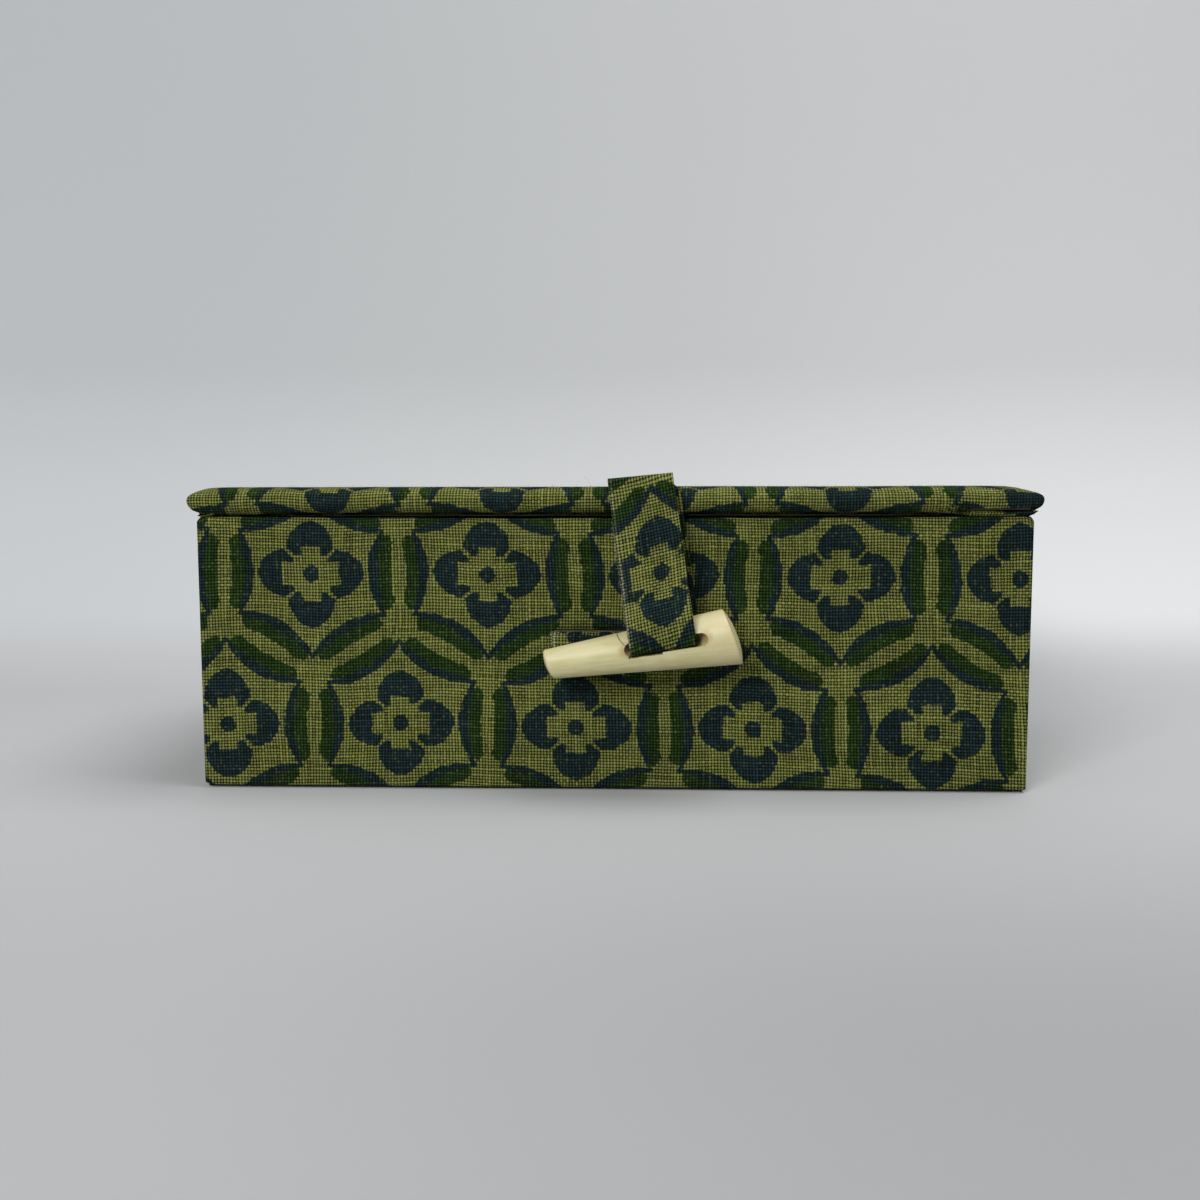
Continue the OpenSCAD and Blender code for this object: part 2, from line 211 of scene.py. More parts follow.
def make_sweep():
    bm = bmesh.new()
    for x in (-SWEEP_HALF, SWEEP_HALF):
        bm.verts.new((x, SWEEP_FRONT, 0))
    edge, _ = drawn_edge(bm, [bm.edges.new(bm.verts[:])], (0, SWEEP_BACK - SWEEP_FRONT, 0))
    last = bmesh.ops.spin(bm, geom=edge + list(edge[0].verts), cent=(0, SWEEP_BACK, SWEEP_RADIUS),
                          axis=(1, 0, 0), angle=math.pi / 2, steps=SWEEP_STEPS)["geom_last"]
    edge = [g for g in last if isinstance(g, bmesh.types.BMEdge)]
    drawn_edge(bm, edge, (0, 0, SWEEP_TOP - SWEEP_RADIUS))
    bmesh.ops.recalc_face_normals(bm, faces=bm.faces[:])
    if min(f.normal.z for f in bm.faces) < -0.5:
        bmesh.ops.reverse_faces(bm, faces=bm.faces[:])
    mesh = bpy.data.meshes.new("sweep")
    bm.to_mesh(mesh)
    bm.free()
    mesh.shade_smooth()
    sweep = bpy.data.objects.new("sweep", mesh)
    scene.collection.objects.link(sweep)
    return sweep


sweep = make_sweep()
paper = Recipe("sweep_paper")
place = paper.node("TexCoord").outputs["Object"]
drift = paper.noise(place, 1.7, 1.0)
x, y, z = paper.parts(place)
# Painted light falloff and painted shade: the wall darker at the left and towards the top, the floor darker
# than the wall and darkest in front at the right
wall_painted_falloff = paper.mix(paper.step(x, -0.24, 0.20), paint(200, 202, 204), paint(222, 223, 224))
wall_painted_falloff = paper.mix(paper.step(z, 0.05, 0.30, 0.0, 0.30), wall_painted_falloff, paint(160, 162, 164))
floor_front_painted_shade = paper.mix(paper.step(x, -0.08, 0.06), paint(176, 177, 178), paint(164, 164, 165))
floor_painted_shade = paper.mix(paper.step(y, -0.19, -0.05), floor_front_painted_shade, paint(190, 191, 192))
tone = paper.mix(paper.step(z, 0.0, 0.022), floor_painted_shade, wall_painted_falloff)
tone = paper.mix(paper.math("MULTIPLY", drift, 0.10), tone, paint(160, 162, 164))
sweep.data.materials.append(paper.finish(tone, None, 0.0, 0.95, Specular_IOR_Level=0.1))
from_behind = paper.math("MULTIPLY", paper.node("LightPath").outputs["Is Camera Ray"],
                         paper.node("NewGeometry").outputs["Backfacing"])
either = paper.node("MixShader")
for socket, value in zip(either.inputs, (from_behind, paper.surface.outputs["BSDF"],
                                         paper.node("BsdfTransparent").outputs["BSDF"])):
    paper.feed(socket, value)
paper.feed(paper.tree.nodes["Material Output"].inputs["Surface"], either.outputs[0])

# %% [markdown]
# ## Soft light
# The box stands in even, soft light. A wide lamp in front and to the left lets the strap
# shade the cloth on its right. One overhead and to the right throws a shadow on the floor
# at the left. Pale walls all round fill in the rest, and the world stands in for them.

# %% Lamps and world
def soft_lamp(name, place, target, size, power, colour=(1, 1, 1)):
    lamp = bpy.data.lights.new(name, "AREA")
    lamp.shape = "SQUARE"
    lamp.size = size
    lamp.energy = power
    lamp.color = colour
    holder = bpy.data.objects.new(name, lamp)
    holder.location = place
    holder.rotation_euler = (Vector(target) - Vector(place)).to_track_quat("-Z", "Y").to_euler()
    scene.collection.objects.link(holder)
    return holder


soft_lamp("overhead", (0.34, 0.0, 0.90), (0, 0.0, 0.0), 0.6, 5.0)
soft_lamp("front", (-0.42, -0.90, 0.62), (0, -0.05, 0.03), 0.42, 7.6)
world = bpy.data.worlds.new("room")
world.use_nodes = True
world.node_tree.nodes["Background"].inputs["Color"].default_value = (0.97, 0.99, 1.0, 1.0)
world.node_tree.nodes["Background"].inputs["Strength"].default_value = 0.31
scene.world = world

# %% [markdown]
# ## The print on the linen
# The cloth is a plain weave printed in navy and green on olive. The print is a traditional
# tortoiseshell lattice: six-sided cells, a four-petalled flower in each, and a green arc
# with a navy edge along each side. Painting it by hand would fix one size of picture. Here
# distances are measured from the middle of the nearest cell instead, so it stays sharp.
# Each piece of cloth has a map named Cloth, in metres along its threads, with a flower at
# its origin, so one finish serves every piece.

# %% Sizes of the print and the weave, in millimetres
CELL = 40.0
ROW = CELL * math.sqrt(3)
THREAD, THREAD_SLIM, THREAD_WAVE = 0.70, 2.2, 0.45
PETAL_R, PETAL_OUT, PETAL_POINT, PETAL_GAP, EYE_R = 6.3, 6.1, 0.17, 0.42, 1.85
ARM_HALF, ARM_REACH, CORE_HALF = (2.65, 2.2), (6.8, 6.15), 4.1
LENS_R, LENS_AT, RIM_R, RIM_AT, RIM_MIDDLE, RIM_END = 36.0, 54.35, 17.0, 30.3, 2.15, 1.0
RIM_OVERLAP, RIM_TAPER, PRINT_SOFT = 0.6, 8.5, 0.12
DIAGONAL, SINE_60 = 1.41, 0.8660254
ARC_HALF, TIP_AT, TIP_R = 7.1, 17.3, 1.35
OLIVE, GREEN, NAVY = paint(142, 147, 77), paint(49, 75, 34), paint(40, 59, 62)
# The holes' colour is painted shade; the pale colour is bare fibre and painted sheen
PAINTED_HOLE_SHADE, PALE = paint(8, 12, 4), paint(184, 182, 150)


# %% Nodes that draw the flower and the arcs
def print_colour(r, at):
    """The dye at a place on the cloth, given in millimetres."""
    corner = (CELL / 2, ROW / 2, 0)
    opposite = tuple(-c for c in corner)
    near = r.vector("WRAP", at, corner, opposite)
    other = r.vector("WRAP", r.vector("SUBTRACT", at, corner), corner, opposite)
    closer = r.math("LESS_THAN", r.vector("LENGTH", other), r.vector("LENGTH", near))
    x, y, _ = r.parts(r.vector("ABSOLUTE", r.mix_vector(closer, near, other)))
    out, aside = r.math("MAXIMUM", x, y), r.math("MINIMUM", x, y)
    upright = r.math("GREATER_THAN", y, x)

    # Four petals with a soft point, round a cross with stepped corners, and the eye
    petal = r.vector("LENGTH", r.joined(r.math("SUBTRACT", out, PETAL_OUT), aside))
    petal = r.math("SUBTRACT", r.math("ADD", petal, r.math("MULTIPLY", aside, PETAL_POINT)), PETAL_R)
    half = r.math("ADD", ARM_HALF[0], r.math("MULTIPLY", upright, ARM_HALF[1] - ARM_HALF[0]))
    reach = r.math("ADD", ARM_REACH[0], r.math("MULTIPLY", upright, ARM_REACH[1] - ARM_REACH[0]))
    arms = r.math("MAXIMUM", r.math("SUBTRACT", aside, half), r.math("SUBTRACT", out, reach))
    cross = r.math("MINIMUM", arms, r.math("SUBTRACT", out, CORE_HALF))
    gap = r.math("SUBTRACT", PETAL_GAP * DIAGONAL, r.math("SUBTRACT", out, aside))
    flower = r.math("MAXIMUM", r.math("MAXIMUM", petal, r.math("MULTIPLY", cross, -1.0)), gap)
    flower = r.math("MINIMUM", flower, r.math("SUBTRACT", r.vector("LENGTH", r.joined(x, y)), EYE_R))

    # Fold the cell on to one of its six sides
    turned_x = r.math("ADD", r.math("MULTIPLY", x, 0.5), r.math("MULTIPLY", y, SINE_60))
    turned_y = r.math("SUBTRACT", r.math("MULTIPLY", y, 0.5), r.math("MULTIPLY", x, SINE_60))
    upper = r.math("GREATER_THAN", turned_x, x)
    side = r.mix_vector(upper, r.joined(x, y), r.joined(turned_x, r.math("ABSOLUTE", turned_y)))
    across, along, _ = r.parts(side)

    # A green stroke with round ends, and the navy line that runs on to the cell's corner
    def within(radius, centre):
        away = r.vector("LENGTH", r.joined(r.math("SUBTRACT", centre, across), along))
        return r.math("SUBTRACT", radius, away)
    depth, inner = within(RIM_R, RIM_AT), within(LENS_R, LENS_AT)
    arc = r.math("MAXIMUM", r.math("SUBTRACT", RIM_OVERLAP, depth), inner)
    arc = r.math("MAXIMUM", arc, r.math("SUBTRACT", along, ARC_HALF))
    tip = r.math("SUBTRACT", r.vector("LENGTH", r.joined(r.math("SUBTRACT", across, TIP_AT),
                                                         r.math("SUBTRACT", along, ARC_HALF))), TIP_R)
    green = r.step(r.math("MINIMUM", arc, tip), PRINT_SOFT, -PRINT_SOFT)
    share = r.math("POWER", r.math("DIVIDE", along, RIM_TAPER), 2.0)
    taper = r.math("MULTIPLY", share, RIM_MIDDLE - RIM_END)
    width = r.math("SUBTRACT", RIM_MIDDLE, taper)
    rim = r.math("MAXIMUM", r.math("MULTIPLY", depth, -1.0), r.math("SUBTRACT", depth, width))
    navy = r.step(r.math("MINIMUM", flower, rim), PRINT_SOFT, -PRINT_SOFT)
    return green, navy


# %% [markdown]
# ## The weave under the print
# Threads go over and under each other, and at each corner between them there is a small
# hole, which is painted near black as painted shade. The relief below is the higher of the
# two threads, each a rounded bar that
# rises and dips. The dye is read at the middle of each crossing, so the print's edges step
# from thread to thread, as they do on real linen. Frayed edges show bare, pale fibre,
# which each piece marks in an attribute.

# %% Printed linen
def printed_linen():
    r = Recipe("printed_linen")
    cloth = r.node("UVMap", {"uv_map": "Cloth"}).outputs["UV"]
    flat = r.scaled(cloth, 1000.0)
    wander = r.vector("SUBTRACT", r.noise(flat, 0.035, 1.0, colour=True), (0.5, 0.5, 0.5))
    kinks = r.vector("SUBTRACT", r.noise(flat, 0.5, 1.0, colour=True), (0.5, 0.5, 0.5))
    bent = r.vector("ADD", flat, r.vector("ADD", r.scaled(wander, 2.2), r.scaled(kinks, 0.22)))
    threads = r.scaled(bent, 1.0 / THREAD)
    cell = r.vector("FLOOR", threads)
    inside = r.vector("SUBTRACT", r.vector("SUBTRACT", threads, cell), (0.5, 0.5, 0.5))
    u, v, _ = r.parts(inside)
    tu, tv, _ = r.parts(threads)
    i, j, _ = r.parts(cell)
    middle = r.scaled(r.vector("ADD", cell, (0.5, 0.5, 0.0)), THREAD)
    bleed = r.vector("SUBTRACT", r.noise(flat, 0.55, 2.0, colour=True), (0.5, 0.5, 0.5))
    dyed_at = r.vector("ADD", r.mix_vector(0.45, bent, middle), r.scaled(bleed, 1.1))
    dyed_x, dyed_y, _ = r.parts(dyed_at)
    green, navy = print_colour(r, r.joined(dyed_x, dyed_y))

    # Thickness and shade of each thread, and its slubs
    line = {"noise_dimensions": "1D"}
    warp_tone = r.node("TexWhiteNoise", line, W=r.math("ADD", i, 0.3)).outputs["Value"]
    weft_tone = r.node("TexWhiteNoise", line, W=r.math("ADD", j, 871.3)).outputs["Value"]
    warp_slub = r.noise(r.joined(i, r.math("MULTIPLY", tv, 0.09), 4.0), 1.3, 1.0)
    weft_slub = r.noise(r.joined(r.math("MULTIPLY", tu, 0.09), j, 9.0), 1.3, 1.0)

    def thread(aside, slub, tone, along, number, wave):
        """A round bar that rises and dips once over each pair of crossings."""
        fat = r.math("ADD", r.math("MULTIPLY", slub, 0.8), r.math("MULTIPLY", tone, 0.16))
        bar = r.math("POWER", r.math("MULTIPLY", r.math("ABSOLUTE", aside), THREAD_SLIM), 2.0)
        turn = r.math("MULTIPLY", r.math("SUBTRACT", along, r.math("ADD", number, 0.5)), math.pi)
        wave = r.math("MULTIPLY", r.math("COSINE", turn), wave)
        return r.math("ADD", r.math("ADD", r.math("MULTIPLY", bar, -1.0), wave), fat)
    warp = thread(u, warp_slub, warp_tone, tv, i, THREAD_WAVE)
    weft = thread(v, weft_slub, weft_tone, tu, j, -THREAD_WAVE)
    height = r.math("MAXIMUM", warp, weft)
    weft_on_top = r.math("GREATER_THAN", weft, warp)

    # Crowns are painted lighter as a painted highlight, and paler in patches as painted sheen, and the gaps
    # are painted dark as painted shade
    crown = r.step(height, 0.25, 1.35, 0.40, 1.14)
    tone_top = r.node("Mix", {"data_type": "FLOAT"}, Factor=weft_on_top)
    r.feed(tone_top.inputs[2], warp_tone)
    r.feed(tone_top.inputs[3], weft_tone)
    shade = r.math("MULTIPLY", crown, r.math("ADD", 0.90, r.math("MULTIPLY", tone_top.outputs[0], 0.16)))
    patchy = r.step(r.noise(flat, 0.06, 3.0), 0.3, 0.7, 0.93, 1.06)
    shade = r.math("MULTIPLY", shade, patchy)
    dye = r.mix(navy, r.mix(green, OLIVE, GREEN), NAVY)
    speck = r.node("TexWhiteNoise", {"noise_dimensions": "2D"}, Vector=cell).outputs["Value"]
    missed = r.math("MULTIPLY", r.step(speck, 0.80, 1.0, 0.0, 0.35), r.math("MAXIMUM", green, navy))
    dye = r.mix(missed, dye, r.mix(0.45, dye, OLIVE))
    fray = r.node("Attribute", {"attribute_name": "Fray"}).outputs["Fac"]
    bare = r.math("MULTIPLY", fray, r.step(r.noise(flat, 2.4, 3.0), 0.35, 0.6))
    dye = r.mix(bare, dye, PALE)
    # Painted sheen: the highest crowns are painted paler in patches
    sheen_patches = r.step(r.noise(flat, 0.9, 2.0), 0.35, 0.75, 0.0, 0.28)
    painted_sheen = r.math("MULTIPLY", r.step(height, 0.9, 1.5), sheen_patches)
    dye = r.mix(painted_sheen, dye, PALE)
    grey = r.node("CombineColor", None, Red=shade, Green=shade, Blue=shade).outputs[0]
    lit = r.mix(1.0, dye, grey, "MULTIPLY")
    # The holes between threads are painted near black as painted shade
    open_weave = r.step(height, -0.05, 0.60)
    colour = r.mix(open_weave, PAINTED_HOLE_SHADE, lit)
    fibres = r.math("MULTIPLY", r.noise(bent, 6.0, 2.0), 0.25)
    relief = r.math("ADD", height, fibres)
    return r.finish(colour, relief, 0.00012, 0.92, Specular_IOR_Level=0.05)


LINEN = printed_linen()

# %% [markdown]
# ## Cloth from a flat cut
# Linen on a box starts as a flat piece, so ours does too: a grid with the rows and columns
# that the folds need, mapped while it is flat, and then laid over the box point by point.
# A solid box with a cloth picture on it would be quicker, but the threads would slide at
# each edge. Shapes are worked out in millimetres and scaled to metres when they are done.

# %% Paths and grids of cloth
def rounded(points, radius, steps=4):
    """The line through the points, with its corners rounded off."""
    points = [Vector(p) for p in points]
    line = [points[0]]
    for before, corner, after in zip(points, points[1:], points[2:]):
        into, away = corner - before, after - corner
        cut = min(radius * math.tan(into.angle(away) / 2), into.length * 0.5, away.length * 0.5)
        start, end = corner - into.normalized() * cut, corner + away.normalized() * cut
        for k in range(steps + 1):
            t = k / steps
            line.append(start.lerp(corner, t).lerp(corner.lerp(end, t), t))
    return line + [points[-1]]


class Walk:
    """Finds the point at a distance along a line."""

    def __init__(self, points):
        self.points = [Vector(p) for p in points]
        self.reached = [0.0]
        for a, b in zip(self.points, self.points[1:]):
            self.reached.append(self.reached[-1] + (b - a).length)
        self.length = self.reached[-1]

    def at(self, distance):
        k = min(max(bisect.bisect_right(self.reached, distance), 1), len(self.points) - 1)
        span = self.reached[k] - self.reached[k - 1]
        t = (distance - self.reached[k - 1]) / span if span > 1e-9 else 0.0
        return self.points[k - 1].lerp(self.points[k], t)

    def nearest(self, point):
        """The distance along the line at its corner point nearest to a point."""
        target = Vector(point)
        k = min(range(len(self.points)), key=lambda n: (self.points[n] - target).length)
        return self.reached[k]


def stops(length, marks, fine, coarse, exact=()):
    """Distances from 0 to length, closer together round the marks."""
    found, at = [0.0], 0.0
    while at < length:
        gap = min((abs(at - m) for m in marks), default=coarse)
        at += min(coarse, max(fine, 0.45 * (gap - 2.5 * fine)))
        found.append(min(at, length))
    kept = [f for f in found[:-1] if all(abs(f - e) > 0.4 * fine for e in exact) and f < length - 0.3 * fine]
    return sorted(set(kept + list(exact) + [length]))


def cloth_grid(columns, rows, origin=(0.0, 0.0)):
    """A flat grid with its columns and rows at these distances, and its threads mapped from origin."""
    bm = bmesh.new()
    nx, ny = len(columns) - 1, len(rows) - 1
    bmesh.ops.create_grid(bm, x_segments=nx, y_segments=ny, size=1.0)
    for v in bm.verts:
        v.co = (columns[round((v.co.x + 1) / 2 * nx)], rows[round((v.co.y + 1) / 2 * ny)], 0)
    layer = bm.loops.layers.uv.new("Cloth")
    for face in bm.faces:
        for loop in face.loops:
            loop[layer].uv = ((loop.vert.co.x - origin[0]) * MM, (loop.vert.co.y - origin[1]) * MM)
    return bm


def made_piece(name, bm, body, material, nodes=()):
    """Scales a shape to metres and makes it a piece that rides on a body."""
    bmesh.ops.scale(bm, vec=(MM, MM, MM), verts=bm.verts[:])
    mesh = bpy.data.meshes.new(name)
    bm.to_mesh(mesh)
    bm.free()
    mesh.shade_smooth()
    mesh.materials.append(material)
    piece = bpy.data.objects.new(name, mesh)
    scene.collection.objects.link(piece)
    if nodes:
        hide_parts(*nodes)
    if body:
        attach(piece, body)
    print(name, len(mesh.polygons), "faces")
    return piece


def solid_cloth(bm, thickness):
    """Gives cloth its thickness on the side away from its face, before it is scaled."""
    bmesh.ops.recalc_face_normals(bm, faces=bm.faces[:])
    bmesh.ops.solidify(bm, geom=bm.faces[:], thickness=thickness)


def ripple(x, y, size, seed=0.0):
    """A smooth uneven height from -1 to 1, as in hand work."""
    return noise.noise(Vector((x / size, y / size, seed)))


# %% [markdown]
# ## The cloth round the walls
# One long strip goes round all four walls, overlaps itself on the back, turns in over the
# rim and turns under the base. Its path in section is a line with rounded corners, and its
# path round the box is another, so each point of the flat strip is found on both. Where it
# turns in at a corner it is drawn together. Two slits in the front let the keeper through.

# %% Wall cloth
HALF_W, HALF_D, WALL_H = 95.4, 50.0, 63.5
RIM_T, TURN_IN, TURN_UNDER, BASE_Z = 3.6, 12.0, 15.0, 0.6
SEAM_AT, SEAM_LAP = -60.0, 8.0
WALL_FLOWER = (10.6, 50.6)
STRETCH_X = (1.357, 1.592, -0.123, -0.203, -0.033, -0.806, -0.624)
STRETCH_Z = (-0.815, -1.358, -0.437, 0.554, 0.435, 0.339, 0.79)
SLITS_X, SLITS_Z, SLIT_H = (-13.4, 3.0), (37.1, 27.2), 0.7
section = Walk(rounded([(TURN_UNDER, BASE_Z), (0, BASE_Z), (0, WALL_H), (RIM_T, WALL_H),
                        (RIM_T, WALL_H - TURN_IN)], 0.75))
outline = Walk(rounded([(SEAM_AT, HALF_D), (-HALF_W, HALF_D), (-HALF_W, -HALF_D), (HALF_W, -HALF_D),
                        (HALF_W, HALF_D), (SEAM_AT - SEAM_LAP, HALF_D)], 0.8, 4))
front_middle = outline.nearest((-HALF_W, -HALF_D)) + HALF_W


def wall_point(along, up):
    inward, z = section.at(up)
    x, y = outline.at(along)
    x = max(-HALF_W + inward, min(HALF_W - inward, x))
    y = max(-HALF_D + inward, min(HALF_D - inward, y))
    lap = max(0.0, along - (outline.length - SEAM_LAP))
    if inward < 0.1 and 1.0 < z < WALL_H - 1:
        middle = 1 - (x / HALF_W) ** 4
        swell = 0.12 * ripple(along, z, 31.0) * min(1.0, (z - 1) / 8) * middle
        if y < 0 and abs(y + HALF_D) < 0.3:
            y -= swell
        if y > 0 and abs(y - HALF_D) < 0.3:
            y += swell + 0.42 * min(1.0, lap / 2.0)
    if z > WALL_H - 14 and y < 0 and inward < RIM_T + 0.1:
        sag = (1 - min(1.0, abs(x - 8) / 92) ** 3) * (z - WALL_H + 14) / 14
        z -= 0.42 * sag + 0.08 * ripple(x, 3.0, 17.0) * (z - WALL_H + 14) / 14
    to_corner = max(0.0, 2.4 - (HALF_W - abs(x))) / 2.4 * max(0.0, 2.4 - (HALF_D - abs(y))) / 2.4
    if z > WALL_H - 3:
        z -= 1.3 * min(1.0, to_corner) ** 1.5 * (z - WALL_H + 3) / 3
    if z < 3 and x < 0:
        z += 1.0 * min(1.0, to_corner) ** 1.5 * (3 - z) / 3
    return x, y, z


def drawn_out(bm, along_middle, up_base):
    """Moves the print on the flat cloth a little, as far as the cloth was stretched there."""
    layer = bm.loops.layers.uv["Cloth"]
    for face in bm.faces:
        for loop in face.loops:
            x = max(-1.0, min(1.0, (loop.vert.co.x - along_middle) / 100))
            z = max(-1.1, min(1.1, (loop.vert.co.y - up_base - 31) / 32))
            terms = (1, x, x * x, x ** 3, z, x * z, x * x * z)
            shift_u = sum(a * b for a, b in zip(STRETCH_X, terms))
            shift_v = sum(a * b for a, b in zip(STRETCH_Z, terms))
            loop[layer].uv -= Vector((shift_u, shift_v)) * MM


def make_wall_cloth():
    corners = [outline.nearest(p) for p in ((-HALF_W, HALF_D), (-HALF_W, -HALF_D), (HALF_W, -HALF_D),
                                            (HALF_W, HALF_D))]
    slit_columns = [front_middle + x for x in SLITS_X]
    base = section.nearest((0, BASE_Z))
    slit_rows = [base + z - BASE_Z + s * SLIT_H / 2 for z in SLITS_Z for s in (-1, 1)]
    bends = [base, section.nearest((0, WALL_H)), section.nearest((RIM_T, WALL_H))]
    columns = stops(outline.length, corners, 0.3, 3.0, slit_columns + [outline.length - SEAM_LAP])
    rows = stops(section.length, bends, 0.22, 3.0, slit_rows)
    bm = cloth_grid(columns, rows, (front_middle + WALL_FLOWER[0], base - BASE_Z + WALL_FLOWER[1]))
    cut = []
    for face in bm.faces:
        c = face.calc_center_median()
        in_x = slit_columns[0] < c.x < slit_columns[1]
        if in_x and any(abs(c.y - (base + z - BASE_Z)) < SLIT_H / 2 for z in SLITS_Z):
            cut.append(face)
    bmesh.ops.delete(bm, geom=cut, context="FACES")
    drawn_out(bm, front_middle, base - BASE_Z)
    for v in bm.verts:
        v.co = wall_point(v.co.x, v.co.y)
    bmesh.ops.recalc_face_normals(bm, faces=bm.faces[:])
    piece = made_piece("wall_cloth", bm, "box", LINEN, ["wall_cover"])
    thick = piece.modifiers.new("cloth thickness", "SOLIDIFY")
    thick.thickness = 0.5 * MM
    thick.offset = -1.0
    return piece


make_wall_cloth()
print("front middle at", round(front_middle, 2), "of", round(outline.length, 1), "mm")

# %% [markdown]
# ## The padded lid
# The lid is card with a thin layer of wadding, and its linen is drawn over the edge and
# pasted below. Seen from the end its edge is a blunt nose, and at the two front corners
# the side's cloth is folded under first and the front's flap is brought over it, which
# leaves a curved crease. A flat grid is laid over the nose row by row. Near the corners
# the rows under the flap are lifted to follow the crease and sunk behind it.

# %% Shape of the lid's edge
LID_W, LID_FRONT, LID_BACK, LID_TOP = 97.3, -51.7, 50.0, 70.2
LID_MID = (LID_FRONT + LID_BACK) / 2
LID_D = (LID_BACK - LID_FRONT) / 2
PLATEAU = 8.6
LID_FLOWER = (13.3, 7.2)
LEFT_NOSE = [(8.6, 70.2), (5.6, 70.2), (3.8, 70.0), (2.2, 69.4), (1.0, 68.8), (0.3, 68.2),
             (0.0, 67.5), (0.0, 67.0), (0.35, 66.0), (1.1, 65.1), (2.2, 64.55), (4.0, 64.35),
             (7.0, 64.3), (12.0, 64.3), (15.0, 64.3)]
RIGHT_NOSE = [(8.6, 70.2), (6.8, 70.15), (5.0, 69.85), (3.2, 69.3), (1.5, 68.75), (0.5, 68.3),
              (0.05, 67.7), (0.0, 67.0), (0.3, 66.1), (1.1, 65.2), (2.4, 64.6), (4.2, 64.35),
              (7.0, 64.3), (12.0, 64.3), (15.0, 64.3)]
FRONT_NOSE = [(8.6, 70.2), (4.4, 70.15), (2.3, 69.8), (1.0, 69.2), (0.35, 68.4), (0.08, 67.6), (0.0, 66.9),
              (0.12, 66.1), (0.45, 65.4), (1.0, 64.85), (1.9, 64.45), (4.4, 64.3), (5.2, 63.8), (6.9, 63.8),
              (7.4, 64.3), (15.0, 64.3)]
BACK_NOSE = [(8.6, 70.2), (4.0, 70.15), (2.0, 69.75), (0.9, 69.1), (0.3, 68.3), (0.05, 67.5), (0.0, 66.9),
             (0.0, 66.2), (0.05, 65.5), (0.3, 64.8), (1.0, 64.4), (4.6, 64.3), (10.0, 64.3), (15.0, 64.3)]
# Height of the flap's lower edge by distance from the tip, at the left and right corners
LEFT_FLAP = [(0.0, 67.9), (0.8, 67.4), (1.6, 66.3), (2.7, 65.55), (4.2, 65.05), (6.8, 64.6), (11.0, 64.3)]
RIGHT_FLAP = [(0.0, 67.9), (0.9, 67.45), (2.0, 66.5), (3.4, 65.75), (6.0, 65.4), (12.0, 65.3), (19.5, 65.35),
              (21.2, 65.3), (21.6, 64.3), (23.0, 64.3)]


def table_height(table, at):
    for (a, za), (b, zb) in zip(table, table[1:]):
        if at <= b:
            return za + (zb - za) * max(0.0, at - a) / (b - a)
    return table[-1][1]


def nose_point(walks, share):
    """Inset and height at a share of the way round each edge's nose, for left, right, front and back."""
    return [w.at(share * w.length) for w in walks]


noses = [Walk(rounded(n, 1.2, 3)) for n in (LEFT_NOSE, RIGHT_NOSE, FRONT_NOSE, BACK_NOSE)]
tip_share = noses[2].nearest((0.0, 66.9)) / noses[2].length
print("nose lengths", [round(w.length, 2) for w in noses])


# %% Lid's linen
NOSE_ROWS = 44
CREASE_ROW = 27
TOP_SINK, SINK_FROM = 0.95, 8.0
DENT, DENT_X, DENT_HALF, DENT_BACK = 0.5, 7.3, 8.9, 16.5
CORNER_R, LOW_LIP = 1.5, 0.45
# The crease under the flap, row by row: how far in it goes, and how far below the nose's line
CREASE = ((1.9, 0.05), (1.9, 0.62), (0.45, 0.78))
FLAP_REACH, FLAP_FADE = (11.0, 21.6), (3.0, 0.8)
# How far the print is drawn along at the lid's left end
LEFT_DRAW = 2.9


def smooth(t):
    t = max(0.0, min(1.0, t))
    return t * t * (3 - 2 * t)


def top_sink(gx, gy):
    """The wadding is pressed flatter towards the hinge, and a little more under the strap's tail."""
    beside = smooth((DENT_HALF - abs(gx - DENT_X)) / 1.4)
    dent = DENT * beside * smooth((DENT_BACK - gy - LID_D) / 1.5)
    return TOP_SINK * smooth((gy + LID_D - SINK_FROM) / (2 * LID_D - SINK_FROM)) + dent


def edge_level(height):
    """The row round the front's nose that lies at a height."""
    walk = noses[2]
    for a, b, at, to in zip(walk.points, walk.points[1:], walk.reached, walk.reached[1:]):
        if b[1] <= height < a[1]:
            return (at + (to - at) * (a[1] - height) / (a[1] - b[1])) / walk.length * NOSE_ROWS
    return CREASE_ROW


def nose_pair(level, sx, sy):
    """Inset and height on the nearer side's nose and on the front's or back's, at a level."""
    left, right, front, back = nose_point(noses, level / NOSE_ROWS)
    return (left if sx < 0 else right), (front if sy < 0 else back)


def flap_row(row, gx, gy, grid_x, grid_y, on_side):
    """A row's level on the nose, and how deep the flap's crease is there.

    At the front's corners the rows are moved so that CREASE_ROW lies on the flap's edge.
    """
    if gy >= 0:
        return row, 0.0
    corner = 0 if gx < 0 else 1
    inset = nose_pair(row, gx, gy)[0][0]
    from_tip = inset if on_side else LID_W - abs(gx) * (LID_W - inset) / grid_x
    near = smooth((3.5 - LID_D * (1 - abs(gy) / grid_y)) / 2) if on_side else 1.0
    edge = edge_level(max(64.6, table_height((LEFT_FLAP, RIGHT_FLAP)[corner], from_tip)))
    past = max(0, row - CREASE_ROW - len(CREASE)) / (NOSE_ROWS - CREASE_ROW - len(CREASE))
    moved = row * edge / CREASE_ROW if row <= CREASE_ROW else edge + (NOSE_ROWS - edge) * past
    level = row + (moved - row) * smooth((FLAP_REACH[corner] + 3 - from_tip) / 3) * near
    if row <= CREASE_ROW:
        return level, 0.0
    return level, smooth((FLAP_REACH[corner] - from_tip) / FLAP_FADE[corner]) * near


